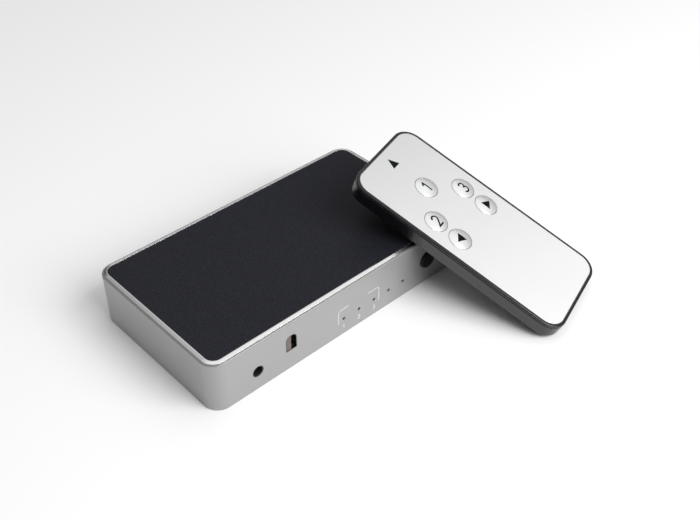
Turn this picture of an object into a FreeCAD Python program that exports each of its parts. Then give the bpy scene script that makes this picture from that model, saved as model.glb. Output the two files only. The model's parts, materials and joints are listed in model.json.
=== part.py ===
import FreeCAD, Part
import math
import os
from types import SimpleNamespace

import Sketcher
from FreeCAD import Placement, Rotation, Vector

# Three-input video switch with its card remote leaning on one corner, in millimetres.
# Origin: centre of the case's base. X runs along the case, -Y is the front with the lamps, Z is up.

dimensions = {
    # case
    "case_length": 112.0,
    "case_width": 63.0,
    "case_height": 20.0,
    "case_corner": 5.5,
    "case_wall": 1.6,
    "case_roof": 1.3,
    "land_drop": 0.5,
    "land_width": 0.6,
    "land_round": 0.35,
    # bright frame and black panel let into the top
    "frame_sink": 0.6,
    "frame_gap": 0.05,
    "facet_run": 0.95,
    "facet_drop": 0.4,
    "panel_inset": 2.0,
    "panel_corner": 3.3,
    "panel_drop": 0.1,
    "glue_thickness": 0.15,
    "glue_margin": 0.6,
    # base plate, bosses and their screws
    "plate_thickness": 1.5,
    "plate_gap": 0.15,
    "boss_inset": 4.6,
    "boss_radius": 3.2,
    "pilot_radius": 1.0,
    "pilot_depth": 8.0,
    "standoff_radius": 2.5,
    "standoff_height": 1.9,
    "standoff_inset_x": 10.0,
    "standoff_inset_y": 19.5,
    "screw_radius": 0.95,
    "screw_length": 7.0,
    "screw_head_radius": 1.9,
    "screw_head_height": 1.2,
    "screw_head_bevel": 0.3,
    "screw_slot_width": 0.5,
    "screw_slot_depth": 0.6,
    "screw_slot_reach": 1.14,
    "screw_play": 0.2,
    # main board
    "board_thickness": 1.6,
    "board_gap": 0.7,
    "board_notch": 7.0,
    # infrared jack
    "jack_inset": 17.35,
    "jack_height": 4.8,
    "jack_width": 6.0,
    "jack_depth": 14.0,
    "jack_nose_radius": 2.1,
    "jack_bore_radius": 1.8,
    "jack_bore_depth": 14.0,
    "jack_hole_radius": 2.15,
    "jack_sink": 0.2,
    "jack_tab_width": 1.4,
    "jack_tab_height": 3.0,
    "jack_tab_first": 2.8,
    "jack_tab_pitch": 4.2,
    "tab_thickness": 0.25,
    # infrared receiver behind its window
    "window_inset": 31.15,
    "window_bottom": 7.7,
    "window_width": 4.5,
    "window_height": 6.3,
    "window_corner": 1.9,
    "receiver_width": 5.6,
    "receiver_height": 7.0,
    "receiver_depth": 3.0,
    "receiver_lens_radius": 1.1,
    "receiver_lens_rise": 0.9,
    "receiver_lens_offset": 1.25,
    "cheek_play": 0.1,
    "cheek_sink": 0.15,
    "shade_gap": 0.1,
    "shade_thickness": 0.5,
    "shade_reach": 0.8,
    "shade_arm": 1.0,
    "lead_width": 0.5,
    "lead_pitch": 2.54,
    # lamps
    "lamp_first_x": -2.0,
    "lamp_pitch": 7.0,
    "lamp_height": 1.7,
    "lamp_hole_radius": 0.6,
    "guide_play": 0.05,
    "guide_sink": 0.25,
    "guide_bar_height": 2.5,
    "guide_bar_depth": 0.6,
    "guide_bar_margin": 1.2,
    "guide_bar_gap": 0.1,
    "led_width": 1.6,
    "led_depth": 1.2,
    "led_height": 2.2,
    # select button and its switch
    "button_inset": 17.95,
    "button_z": 9.9,
    "button_hole_radius": 3.5,
    "button_play": 0.12,
    "button_rise": 0.9,
    "button_bevel": 0.45,
    "button_flange": 0.8,
    "button_flange_thickness": 0.7,
    "button_flange_gap": 0.12,
    "button_stem_length": 1.6,
    "button_stem_radius": 1.6,
    "button_travel": 0.4,
    "tact_width": 6.0,
    "tact_rise": 2.8,
    "tact_depth": 3.6,
    "tact_plunger_radius": 1.75,
    "tact_plunger_length": 1.8,
    "tact_bore_depth": 1.4,
    "tact_bore_play": 0.08,
    "tact_stop_gap": 0.1,
    "tact_cover_thickness": 0.3,
    # rear panel, let in from inside
    "rear_window_height": 14.0,
    "rear_window_corner": 1.5,
    "rear_panel_gap": 0.1,
    "lip_reach": 1.0,
    "lip_gap": 0.1,
    "lip_boss_gap": 0.7,
    # sockets at the rear
    "row_inset": 11.75,
    "socket_width": 14.0,
    "socket_height": 4.55,
    "socket_slant": 1.8,
    "socket_sheet": 0.35,
    "socket_depth": 11.5,
    "socket_sink": 0.5,
    "socket_play": 0.2,
    "socket_block_depth": 3.0,
    "insert_play": 0.05,
    "tongue_width": 11.2,
    "tongue_thickness": 1.0,
    "tongue_rise": 0.3,
    "tongue_length": 6.6,
    "contact_pitch": 1.0,
    "contact_width": 0.45,
    "contact_thickness": 0.12,
    "contact_length": 6.0,
    "power_width": 7.0,
    "power_height": 2.1,
    "power_slant": 0.7,
    "power_depth": 5.6,
    "power_tongue_width": 4.2,
    "power_tongue_thickness": 0.6,
    "power_tongue_length": 3.6,
    # components on the main board
    "part_gap": 4.0,
    "switch_chip_side": 12.0,
    "switch_chip_height": 1.2,
    "chip_row_gap": 1.5,
    "control_chip_side": 7.0,
    "control_chip_height": 1.0,
    "crystal_width": 3.2,
    "crystal_length": 5.0,
    "crystal_height": 1.3,
    "supply_offset": 7.4,
    "regulator_width": 6.5,
    "regulator_length": 3.5,
    "regulator_height": 1.7,
    "inductor_side": 6.0,
    "inductor_height": 3.0,
    "protection_width": 6.0,
    "protection_length": 3.0,
    "protection_height": 1.0,
    "capacitor_width": 2.0,
    "capacitor_length": 3.2,
    "capacitor_height": 1.5,
    "capacitor_pitch": 3.5,
    "small_capacitor_width": 1.0,
    "small_capacitor_length": 2.0,
    "small_capacitor_height": 0.8,
    # remote
    "remote_length": 86.4,
    "remote_width": 40.8,
    "remote_thickness": 6.0,
    "remote_corner": 7.0,
    "remote_wall": 1.4,
    "remote_floor": 1.1,
    "remote_parting": 4.7,
    "remote_groove": 0.35,
    "remote_groove_depth": 0.4,
    "remote_round": 0.9,
    "remote_rim_round": 0.5,
    "overlay_inset": 1.2,
    "overlay_thickness": 0.3,
    "overlay_sink": 0.06,
    "deck_thickness": 0.6,
    "key_radius": 4.3,
    "key_gap": 0.15,
    "key_dome": 0.65,
    "key_step_x": 10.15,
    "key_step_y": 11.15,
    "key_inset": 21.2,
    "key_flange": 0.6,
    "key_flange_thickness": 0.6,
    "key_travel": 0.4,
    "key_stem_radius": 1.5,
    "snap_radius": 2.6,
    "snap_height": 0.35,
    "card_inset": 6.0,
    "card_tray_gap": 6.5,
    "card_width": 33.0,
    "card_level": 2.4,
    "card_thickness": 0.8,
    "post_radius": 1.3,
    "post_pin_radius": 0.7,
    "post_margin": 4.0,
    "remote_chip_offset": 9.0,
    "remote_chip_length": 5.0,
    "remote_chip_width": 4.0,
    "remote_chip_height": 1.2,
    "resonator_gap": 3.5,
    "resonator_length": 2.0,
    "resonator_width": 3.2,
    "resonator_height": 1.2,
    "emitter_radius": 1.4,
    "emitter_length": 3.0,
    "window_plate_width": 9.0,
    "window_plate_height": 2.6,
    "window_play": 0.05,
    "pin_rise": 0.2,
    "post_play": 0.1,
    "key_seat_gap": 0.1,
    "cell_play": 0.4,
    "rail_width": 1.0,
    "grip_width": 8.0,
    "grip_height": 1.4,
    "grip_depth": 0.7,
    "tray_width": 24.0,
    "tray_length": 25.5,
    "tray_floor": 0.8,
    "tray_play": 0.06,
    "tray_side_play": 0.2,
    "tray_end": 2.6,
    "cell_radius": 10.0,
    "cell_height": 2.5,
    "leaf_width": 2.4,
    "leaf_thickness": 0.25,
    # how the remote leans: turn about Z, way from the case's corner arc to its foot, sideways shift
    "remote_turn": 17.65,
    "remote_reach": 51.4,
    "remote_shift": -1.7,
    "lean_gap": 0.25,
}

doc = FreeCAD.newDocument("video_switch")
sheet = doc.addObject("Spreadsheet::Sheet", "sizes")
for row, (alias, number) in enumerate(dimensions.items(), start=1):
    sheet.set(f"A{row}", alias)
    sheet.set(f"B{row}", str(number))
    sheet.setAlias(f"B{row}", alias)
doc.recompute()


class Size:
    """A length: its number, and the formula that gives it from the sheet."""

    def __init__(self, number, formula=None):
        self.number = float(number)
        self.formula = formula or repr(self.number)

    def __float__(self):
        return self.number

    def __add__(self, other):
        other = as_size(other)
        return Size(self.number + other.number, f"({self.formula} + {other.formula})")

    def __sub__(self, other):
        other = as_size(other)
        return Size(self.number - other.number, f"({self.formula} - {other.formula})")

    def __mul__(self, other):
        other = as_size(other)
        return Size(self.number * other.number, f"({self.formula} * {other.formula})")

    def __truediv__(self, other):
        other = as_size(other)
        return Size(self.number / other.number, f"({self.formula} / {other.formula})")

    def __neg__(self):
        return Size(-self.number, f"(0 - {self.formula})")

    def __radd__(self, other):
        return as_size(other) + self

    def __rsub__(self, other):
        return as_size(other) - self

    def __rmul__(self, other):
        return as_size(other) * self


def as_size(value):
    return value if isinstance(value, Size) else Size(value)


d = SimpleNamespace(**{name: Size(number, "sizes." + name) for name, number in dimensions.items()})

# Levels and places that several pieces share
nil = Size(0)
front = -d.case_width / 2
rear = d.case_width / 2
land_level = d.case_height - d.land_drop
seat_level = land_level - d.frame_sink
roof_level = seat_level - d.case_roof
inner_front = front + d.case_wall
inner_rear = rear - d.case_wall
board_level = d.plate_thickness + d.standoff_height
board_top = board_level + d.board_thickness
board_length = d.case_length - 2 * d.case_wall - 2 * d.board_gap
board_width = d.case_width - 2 * d.case_wall - 2 * d.board_gap
lamp_z = board_top + d.lamp_height
jack_x = d.jack_inset - d.case_length / 2
window_x = d.window_inset - d.case_length / 2
button_x = d.case_length / 2 - d.button_inset
boss_x = d.case_length / 2 - d.boss_inset
boss_y = d.case_width / 2 - d.boss_inset
standoff_x = d.case_length / 2 - d.standoff_inset_x
standoff_y = d.case_width / 2 - d.standoff_inset_y
lamps = 5
sockets = 4
upper_contacts = 10
lower_contacts = 9
close = 1e-4
corners = [(sx, sy) for sx in (-1, 1) for sy in (-1, 1)]

# The rear row keeps one gap between its sockets, from one end's inset to the other's
socket_outer = d.socket_width + 2 * d.socket_sheet
power_outer = d.power_width + 2 * d.socket_sheet
socket_gap = (d.case_length - 2 * d.row_inset - sockets * socket_outer - power_outer) / sockets
socket_pitch = socket_outer + socket_gap
socket_first_x = d.row_inset + socket_outer / 2 - d.case_length / 2
power_x = d.case_length / 2 - d.row_inset - power_outer / 2
lip_width = 2 * (boss_x - d.boss_radius - d.lip_boss_gap)
rear_window_width = lip_width - 2 * d.lip_reach

nodes = []


def bind(thing, prop, value):
    thing.setExpression(prop, as_size(value).formula)


def node(thing, label):
    thing.Label = label
    nodes.append(thing)
    return thing


# Sketches and PartDesign features

def new_body(label):
    body = doc.addObject("PartDesign::Body", label)
    return node(body, label)


def add_sketch(body, name, plane="XY_Plane", level=nil):
    sketch = body.newObject("Sketcher::SketchObject", name)
    origin_plane = [item for item in body.Origin.OriginFeatures if item.Role == plane][0]
    sketch.AttachmentSupport = (origin_plane, [""])
    sketch.MapMode = "FlatFace"
    bind(sketch, "AttachmentOffset.Base.z", level)
    return sketch


def hold(sketch, kind, refs, value):
    """A dimension of a sketch, tied to the sheet."""
    index = sketch.addConstraint(Sketcher.Constraint(kind, *refs, float(value)))
    name = f"size{index}"
    sketch.renameConstraint(index, name)
    bind(sketch, "Constraints." + name, value)


def draw_polygon(sketch, points):
    first = len(sketch.Geometry)
    count = len(points)
    places = [Vector(float(x), float(y), 0) for x, y in points]
    for i in range(count):
        sketch.addGeometry(Part.LineSegment(places[i], places[(i + 1) % count]), False)
    for i in range(count):
        sketch.addConstraint(Sketcher.Constraint("Coincident", first + i, 2, first + (i + 1) % count, 1))
    for i, (x, y) in enumerate(points):
        hold(sketch, "DistanceX", (-1, 1, first + i, 1), x)
        hold(sketch, "DistanceY", (-1, 1, first + i, 1), y)


def draw_rectangle(sketch, low, high):
    draw_polygon(sketch, [(low[0], low[1]), (high[0], low[1]), (high[0], high[1]), (low[0], high[1])])


def draw_circle(sketch, x, y, radius):
    circle = Part.Circle(Vector(float(x), float(y), 0), Vector(0, 0, 1), float(radius))
    index = sketch.addGeometry(circle, False)
    hold(sketch, "DistanceX", (-1, 1, index, 3), x)
    hold(sketch, "DistanceY", (-1, 1, index, 3), y)
    hold(sketch, "Radius", (index,), radius)


def draw_rounded(sketch, length, width, corner, centre=(nil, nil)):
    """Four lines joined by four quarter arcs; an arc's centre and radius are tied to the sheet."""
    first = len(sketch.Geometry)
    reach_x = length / 2 - corner
    reach_y = width / 2 - corner
    turns = [(-1, -1), (1, -1), (1, 1), (-1, 1)]
    arcs = []
    for turn, (sx, sy) in enumerate(turns):
        start = math.pi * (1 + turn / 2)
        middle = (centre[0] + sx * reach_x, centre[1] + sy * reach_y)
        circle = Part.Circle(Vector(float(middle[0]), float(middle[1]), 0), Vector(0, 0, 1), float(corner))
        arcs.append((middle, Part.ArcOfCircle(circle, start, start + math.pi / 2)))
    for middle, arc in arcs:
        sketch.addGeometry(arc, False)
    for turn in range(4):
        leave = arcs[turn][1].EndPoint
        arrive = arcs[(turn + 1) % 4][1].StartPoint
        sketch.addGeometry(Part.LineSegment(leave, arrive), False)
    for turn in range(4):
        line = first + 4 + turn
        sketch.addConstraint(Sketcher.Constraint("Tangent", first + turn, 2, line, 1))
        sketch.addConstraint(Sketcher.Constraint("Tangent", line, 2, first + (turn + 1) % 4, 1))
    for turn, (middle, arc) in enumerate(arcs):
        hold(sketch, "DistanceX", (-1, 1, first + turn, 3), middle[0])
        hold(sketch, "DistanceY", (-1, 1, first + turn, 3), middle[1])
        hold(sketch, "Radius", (first + turn,), corner)


def pad(body, sketch, length, backwards=False):
    feature = body.newObject("PartDesign::Pad", "pad_" + sketch.Label)
    feature.Profile = sketch
    feature.Reversed = backwards
    bind(feature, "Length", length)
    sketch.Visibility = False
    return feature


def pocket(body, sketch, depth, backwards=False):
    """A cut against the sketch's normal, or along it when backwards; it must take material away."""
    doc.recompute()
    before = body.Shape.Volume
    feature = body.newObject("PartDesign::Pocket", "cut_" + sketch.Label)
    feature.Profile = sketch
    feature.Reversed = backwards
    bind(feature, "Length", depth)
    doc.recompute()
    if body.Shape.Volume > before - close:
        raise RuntimeError("cut_" + sketch.Label + " takes nothing from " + body.Label)
    return feature


def edges_where(feature, test):
    return [f"Edge{i}" for i, edge in enumerate(feature.Shape.Edges, start=1) if test(edge.BoundBox)]


def round_edges(body, feature, test, radius):
    doc.recompute()
    fillet = body.newObject("PartDesign::Fillet", "round_" + feature.Label)
    fillet.Base = (feature, edges_where(feature, test))
    bind(fillet, "Radius", radius)
    return fillet


def bevel_edges(body, feature, test, size):
    doc.recompute()
    chamfer = body.newObject("PartDesign::Chamfer", "bevel_" + feature.Label)
    chamfer.Base = (feature, edges_where(feature, test))
    bind(chamfer, "Size", size)
    return chamfer


def at_level(level):
    """Edges that lie wholly at one height."""
    height = float(level)
    return lambda box: abs(box.ZMin - height) < close and abs(box.ZMax - height) < close


def turned(body, name, profile):
    """A profile of (radius, height) points turned about Z."""
    sketch = add_sketch(body, name, "XZ_Plane")
    draw_polygon(sketch, profile)
    feature = body.newObject("PartDesign::Revolution", "turn_" + name)
    feature.Profile = sketch
    feature.ReferenceAxis = (sketch, ["V_Axis"])
    feature.Angle = 360
    return feature


# Primitives

def block(name, low, size):
    """A plain box from its lowest corner."""
    solid = doc.addObject("Part::Box", name)
    for prop, value in zip(("Length", "Width", "Height"), size):
        bind(solid, prop, value)
    for axis, value in zip("xyz", low):
        bind(solid, "Placement.Base." + axis, value)
    return solid


def rod(name, radius, length, base, turn=None):
    """A cylinder from the middle of its first end, along Z or turned."""
    solid = doc.addObject("Part::Cylinder", name)
    bind(solid, "Radius", radius)
    bind(solid, "Height", length)
    if turn:
        solid.Placement = Placement(Vector(), turn)
    for axis, value in zip("xyz", base):
        bind(solid, "Placement.Base." + axis, value)
    return solid


along_y = Rotation(Vector(1, 0, 0), -90)
toward_front = Rotation(Vector(1, 0, 0), 90)
along_x = Rotation(Vector(0, 1, 0), 90)


def fuse(name, solids):
    whole = doc.addObject("Part::MultiFuse", name)
    whole.Shapes = solids
    return whole


def cut(name, base, tool):
    left = doc.addObject("Part::Cut", name)
    left.Base = base
    left.Tool = tool
    return left


def group(name, solids):
    """Separate solids that share one node."""
    whole = doc.addObject("Part::Compound", name)
    whole.Links = solids
    return whole


# Case

def case_shell():
    body = new_body("case_shell")
    outline = add_sketch(body, "outline")
    draw_rounded(outline, d.case_length, d.case_width, d.case_corner)
    walls = pad(body, outline, land_level)
    round_edges(body, walls, at_level(land_level), d.land_round)

    hollow = add_sketch(body, "hollow")
    inside_corner = d.case_corner - d.case_wall
    draw_rounded(hollow, d.case_length - 2 * d.case_wall, d.case_width - 2 * d.case_wall, inside_corner)
    pocket(body, hollow, roof_level, backwards=True)

    recess = add_sketch(body, "frame_recess", level=land_level)
    draw_rounded(recess, d.case_length - 2 * d.land_width, d.case_width - 2 * d.land_width,
                 d.case_corner - d.land_width)
    pocket(body, recess, d.frame_sink)

    bosses = add_sketch(body, "bosses", level=d.plate_thickness)
    for sx, sy in corners:
        draw_circle(bosses, sx * boss_x, sy * boss_y, d.boss_radius)
    pad(body, bosses, roof_level - d.plate_thickness)
    pilots = add_sketch(body, "boss_pilots", level=d.plate_thickness)
    for sx, sy in corners:
        draw_circle(pilots, sx * boss_x, sy * boss_y, d.pilot_radius)
    pocket(body, pilots, d.pilot_depth, backwards=True)

    openings = add_sketch(body, "front_openings", "XZ_Plane", level=-front)
    draw_circle(openings, jack_x, board_top + d.jack_height / 2, d.jack_hole_radius)
    for i in range(lamps):
        draw_circle(openings, d.lamp_first_x + i * d.lamp_pitch, lamp_z, d.lamp_hole_radius)
    draw_circle(openings, button_x, d.button_z, d.button_hole_radius)
    pocket(body, openings, d.case_wall + d.board_gap / 2)

    window = add_sketch(body, "window", "XZ_Plane", level=-front)
    draw_arch(window, window_x, d.window_bottom, d.window_width, d.window_height, d.window_corner)
    pocket(body, window, d.case_wall + d.board_gap / 2)

    rear_window = add_sketch(body, "rear_window", "XZ_Plane", level=-rear)
    draw_arch(rear_window, nil, nil, rear_window_width, d.rear_window_height, d.rear_window_corner)
    pocket(body, rear_window, d.case_wall + d.board_gap / 2, backwards=True)


def rear_panel():
    """A plate in the rear wall's window, with a lip behind the wall and an opening for each socket."""
    body = new_body("rear_panel")
    face = add_sketch(body, "rear_face", "XZ_Plane", level=-rear)
    draw_arch(face, nil, nil, rear_window_width - 2 * d.rear_panel_gap,
              d.rear_window_height - d.rear_panel_gap, d.rear_window_corner)
    pad(body, face, d.case_wall)
    lip = add_sketch(body, "rear_lip", "XZ_Plane", level=-inner_rear)
    lip_height = d.rear_window_height + d.lip_reach - d.plate_thickness
    draw_arch(lip, nil, d.plate_thickness, lip_width, lip_height, d.rear_window_corner + d.lip_reach)
    pad(body, lip, d.board_gap - d.lip_gap)
    openings = add_sketch(body, "socket_openings", "XZ_Plane", level=-rear)
    grow = d.socket_sheet + d.socket_play
    for i in range(sockets):
        draw_polygon(openings, socket_outline(socket_x(i), grow))
    draw_polygon(openings, power_outline(grow))
    pocket(body, openings, d.case_wall + d.board_gap, backwards=True)


def draw_arch(sketch, x, bottom, width, height, corner):
    """Flat foot, straight sides and a top with two rounded corners."""
    first = len(sketch.Geometry)
    left, right = x - width / 2, x + width / 2
    top, shoulder = bottom + height, bottom + height - corner
    a, b = Vector(float(left), float(bottom), 0), Vector(float(right), float(bottom), 0)
    c, e = Vector(float(right), float(shoulder), 0), Vector(float(left), float(shoulder), 0)
    r = float(corner)
    up = Vector(0, 0, 1)
    middle_right = Vector(float(right) - r, float(shoulder), 0)
    middle_left = Vector(float(left) + r, float(shoulder), 0)
    arc_right = Part.ArcOfCircle(Part.Circle(middle_right, up, r), 0, math.pi / 2)
    arc_left = Part.ArcOfCircle(Part.Circle(middle_left, up, r), math.pi / 2, math.pi)
    sketch.addGeometry(Part.LineSegment(a, b), False)
    sketch.addGeometry(Part.LineSegment(b, c), False)
    sketch.addGeometry(arc_right, False)
    sketch.addGeometry(Part.LineSegment(arc_right.EndPoint, arc_left.StartPoint), False)
    sketch.addGeometry(arc_left, False)
    sketch.addGeometry(Part.LineSegment(e, a), False)
    for kind, i, j in (("Coincident", 0, 1), ("Tangent", 1, 2), ("Tangent", 2, 3),
                       ("Tangent", 3, 4), ("Tangent", 4, 5), ("Coincident", 5, 0)):
        sketch.addConstraint(Sketcher.Constraint(kind, first + i, 2, first + j, 1))
    hold(sketch, "DistanceX", (-1, 1, first, 1), left)
    hold(sketch, "DistanceY", (-1, 1, first, 1), bottom)
    hold(sketch, "DistanceX", (-1, 1, first, 2), right)
    hold(sketch, "DistanceY", (-1, 1, first, 2), bottom)
    for arc, sign in ((first + 2, -1), (first + 4, 1)):
        side = right if sign < 0 else left
        hold(sketch, "DistanceX", (-1, 1, arc, 3), side + sign * corner)
        hold(sketch, "DistanceY", (-1, 1, arc, 3), shoulder)
        hold(sketch, "Radius", (arc,), corner)


def top_frame():
    """The bright frame round the panel, with its wide outer facet."""
    body = new_body("top_frame")
    outer_inset = d.land_width + d.frame_gap
    inner_inset = d.panel_inset - d.frame_gap
    ring = add_sketch(body, "frame_ring", level=seat_level)
    draw_rounded(ring, d.case_length - 2 * outer_inset, d.case_width - 2 * outer_inset,
                 d.case_corner - outer_inset)
    draw_rounded(ring, d.case_length - 2 * inner_inset, d.case_width - 2 * inner_inset,
                 d.panel_corner + d.frame_gap)
    solid = pad(body, ring, d.case_height - seat_level)
    halfway = (outer_inset + inner_inset) / 2
    halfway_x = float(d.case_length / 2 - halfway)
    halfway_y = float(d.case_width / 2 - halfway)
    top = at_level(d.case_height)

    def outside(box):
        reach_x = max(abs(box.XMin), abs(box.XMax))
        reach_y = max(abs(box.YMin), abs(box.YMax))
        return top(box) and (reach_x > halfway_x or reach_y > halfway_y)

    facet = bevel_edges(body, solid, outside, d.facet_drop)
    facet.ChamferType = "Two distances"
    bind(facet, "Size2", d.facet_run)


def top_panel():
    body = new_body("top_panel")
    sheet_outline = add_sketch(body, "panel", level=seat_level + d.glue_thickness)
    draw_rounded(sheet_outline, d.case_length - 2 * d.panel_inset, d.case_width - 2 * d.panel_inset,
                 d.panel_corner)
    pad(body, sheet_outline, d.case_height - d.panel_drop - seat_level - d.glue_thickness)


def panel_adhesive():
    body = new_body("panel_adhesive")
    inset = d.panel_inset + d.glue_margin
    film = add_sketch(body, "film", level=seat_level)
    draw_rounded(film, d.case_length - 2 * inset, d.case_width - 2 * inset, d.panel_corner - d.glue_margin)
    pad(body, film, d.glue_thickness)


def base_plate():
    body = new_body("base_plate")
    inset = d.case_wall + d.plate_gap
    outline = add_sketch(body, "plate")
    draw_rounded(outline, d.case_length - 2 * inset, d.case_width - 2 * inset, d.case_corner - inset)
    pad(body, outline, d.plate_thickness)
    standoffs = add_sketch(body, "standoffs", level=d.plate_thickness)
    for sx, sy in corners:
        draw_circle(standoffs, sx * standoff_x, sy * standoff_y, d.standoff_radius)
    pad(body, standoffs, d.standoff_height)
    pilots = add_sketch(body, "standoff_pilots", level=board_level)
    for sx, sy in corners:
        draw_circle(pilots, sx * standoff_x, sy * standoff_y, d.pilot_radius)
    pocket(body, pilots, d.standoff_height + d.plate_thickness / 2)
    holes = add_sketch(body, "screw_holes")
    for sx, sy in corners:
        draw_circle(holes, sx * boss_x, sy * boss_y, d.screw_radius + d.screw_play)
    through = pocket(body, holes, d.plate_thickness, backwards=True)
    floor = at_level(0)
    hole_width = float(2 * (d.screw_radius + d.screw_play))
    bevel_edges(body, through, lambda box: floor(box) and abs(box.XLength - hole_width) < close,
                d.screw_head_radius - d.screw_radius)


def screw_body(name, head_profile, length):
    """A turned screw along -Z with a crossed slot, its head's top at the origin."""
    screw = doc.addObject("PartDesign::Body", name)
    turned(screw, name + " profile", head_profile + [(d.screw_radius, -length), (nil, -length)])
    half_slot = d.screw_slot_width / 2
    for way in ((d.screw_slot_reach, half_slot), (half_slot, d.screw_slot_reach)):
        slot = add_sketch(screw, name + " slot", level=nil)
        draw_rectangle(slot, (-way[0], -way[1]), way)
        pocket(screw, slot, d.screw_slot_depth)
    return screw


def base_screws():
    """Countersunk screws from below into the case's bosses."""
    solids = []
    rim = d.screw_head_radius
    cone = rim - d.screw_radius
    for i, (sx, sy) in enumerate(corners):
        profile = [(nil, nil), (rim, nil), (d.screw_radius, -cone)]
        screw = screw_body(f"base screw {i + 1}", profile, d.screw_length)
        screw.Placement = Placement(Vector(), Rotation(Vector(1, 0, 0), 180))
        bind(screw, "Placement.Base.x", sx * boss_x)
        bind(screw, "Placement.Base.y", sy * boss_y)
        solids.append(screw)
    node(group("base screw group", solids), "base_screws")


def board_screws():
    """Pan-head screws from above into the base plate's standoffs."""
    solids = []
    rim = d.screw_head_radius
    shank = d.board_thickness + d.standoff_height
    for i, (sx, sy) in enumerate(corners):
        profile = [(nil, nil), (rim - d.screw_head_bevel, nil), (rim, -d.screw_head_bevel),
                   (rim, -d.screw_head_height),
                   (d.screw_radius, -d.screw_head_height)]
        screw = screw_body(f"board screw {i + 1}", profile, d.screw_head_height + shank)
        bind(screw, "Placement.Base.x", sx * standoff_x)
        bind(screw, "Placement.Base.y", sy * standoff_y)
        bind(screw, "Placement.Base.z", board_top + d.screw_head_height)
        solids.append(screw)
    node(group("board screw group", solids), "board_screws")


def main_board():
    body = new_body("main_board")
    x, y = board_length / 2, board_width / 2
    nx, ny = x - d.board_notch, y - d.board_notch
    outline = add_sketch(body, "board", level=board_level)
    draw_polygon(outline, [(-nx, -y), (nx, -y), (nx, -ny), (x, -ny), (x, ny), (nx, ny),
                           (nx, y), (-nx, y), (-nx, ny), (-x, ny), (-x, -ny), (-nx, -ny)])
    pad(body, outline, d.board_thickness)
    holes = add_sketch(body, "board_holes", level=board_top)
    for sx, sy in corners:
        draw_circle(holes, sx * standoff_x, sy * standoff_y, d.screw_radius + d.screw_play)
    pocket(body, holes, d.board_thickness)


# Front row

def ir_jack():
    z = board_top + d.jack_height / 2
    mouth = front + d.jack_sink
    face = inner_front + d.board_gap / 2
    shell = block("jack block", (jack_x - d.jack_width / 2, face, board_top),
                  (d.jack_width, d.jack_depth, d.jack_height))
    nose = rod("jack nose", d.jack_nose_radius, face - mouth, (jack_x, mouth, z), along_y)
    bore = rod("jack bore", d.jack_bore_radius, d.jack_bore_depth, (jack_x, mouth, z), along_y)
    node(cut("jack", fuse("jack blank", [shell, nose]), bore), "ir_jack_housing")
    tabs = []
    for i in range(3):
        side = 1 if i % 2 else -1
        x = jack_x + side * (d.jack_width / 2) + (nil if side > 0 else -d.tab_thickness)
        y = face + d.jack_tab_first + i * d.jack_tab_pitch - d.jack_tab_width / 2
        tabs.append(block(f"jack tab {i + 1}", (x, y, board_top),
                          (d.tab_thickness, d.jack_tab_width, d.jack_tab_height)))
    node(group("jack tab group", tabs), "ir_jack_tabs")


def ir_receiver():
    face = inner_front + d.board_gap
    centre_z = d.window_bottom + d.window_height / 2
    low_z = centre_z - d.receiver_height / 2
    case = block("receiver block", (window_x - d.receiver_width / 2, face, low_z),
                 (d.receiver_width, d.receiver_depth, d.receiver_height))
    lens = doc.addObject("Part::Sphere", "receiver lens")
    bind(lens, "Radius", d.receiver_lens_radius)
    bind(lens, "Placement.Base.x", window_x + d.receiver_lens_offset)
    bind(lens, "Placement.Base.y", face - d.receiver_lens_rise + d.receiver_lens_radius)
    bind(lens, "Placement.Base.z", centre_z)
    node(fuse("receiver", [case, lens]), "ir_receiver")
    leads = []
    for i in (-1, 0, 1):
        leads.append(block(f"receiver lead {i + 2}",
                           (window_x + i * d.lead_pitch - d.lead_width / 2,
                            face + d.receiver_depth / 2 - d.lead_width / 2, board_top),
                           (d.lead_width, d.lead_width, low_z - board_top)))
    node(group("receiver lead group", leads), "ir_receiver_leads")


def receiver_shade():
    """A cheek that fills the left half of the window, on a shade whose arm stands on the board."""
    body = new_body("receiver_shade")
    top = d.window_bottom + d.window_height + d.shade_reach
    left = window_x - d.receiver_width / 2 - d.shade_gap - d.shade_arm
    shade_face = inner_front + d.shade_gap
    shade_back = shade_face + d.shade_thickness
    arm_back = inner_front + d.board_gap + d.receiver_depth
    shade = add_sketch(body, "shade", "XZ_Plane", level=-shade_back)
    draw_rectangle(shade, (left, board_top), (window_x, top))
    pad(body, shade, d.shade_thickness)
    arm = add_sketch(body, "shade_arm", "XZ_Plane", level=-arm_back)
    draw_rectangle(arm, (left, board_top), (left + d.shade_arm, top))
    pad(body, arm, arm_back - shade_back)
    cheek = add_sketch(body, "cheek", "XZ_Plane", level=-shade_face)
    draw_arch(cheek, window_x, d.window_bottom + d.cheek_play, d.window_width - 2 * d.cheek_play,
              d.window_height - 2 * d.cheek_play, d.window_corner - d.cheek_play)
    cheek_depth = shade_face - front - d.cheek_sink
    pad(body, cheek, cheek_depth)
    open_half = add_sketch(body, "open_half", "XZ_Plane", level=-(front + d.cheek_sink))
    draw_rectangle(open_half, (window_x, d.window_bottom), (window_x + d.window_width, top))
    pocket(body, open_half, cheek_depth)


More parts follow.
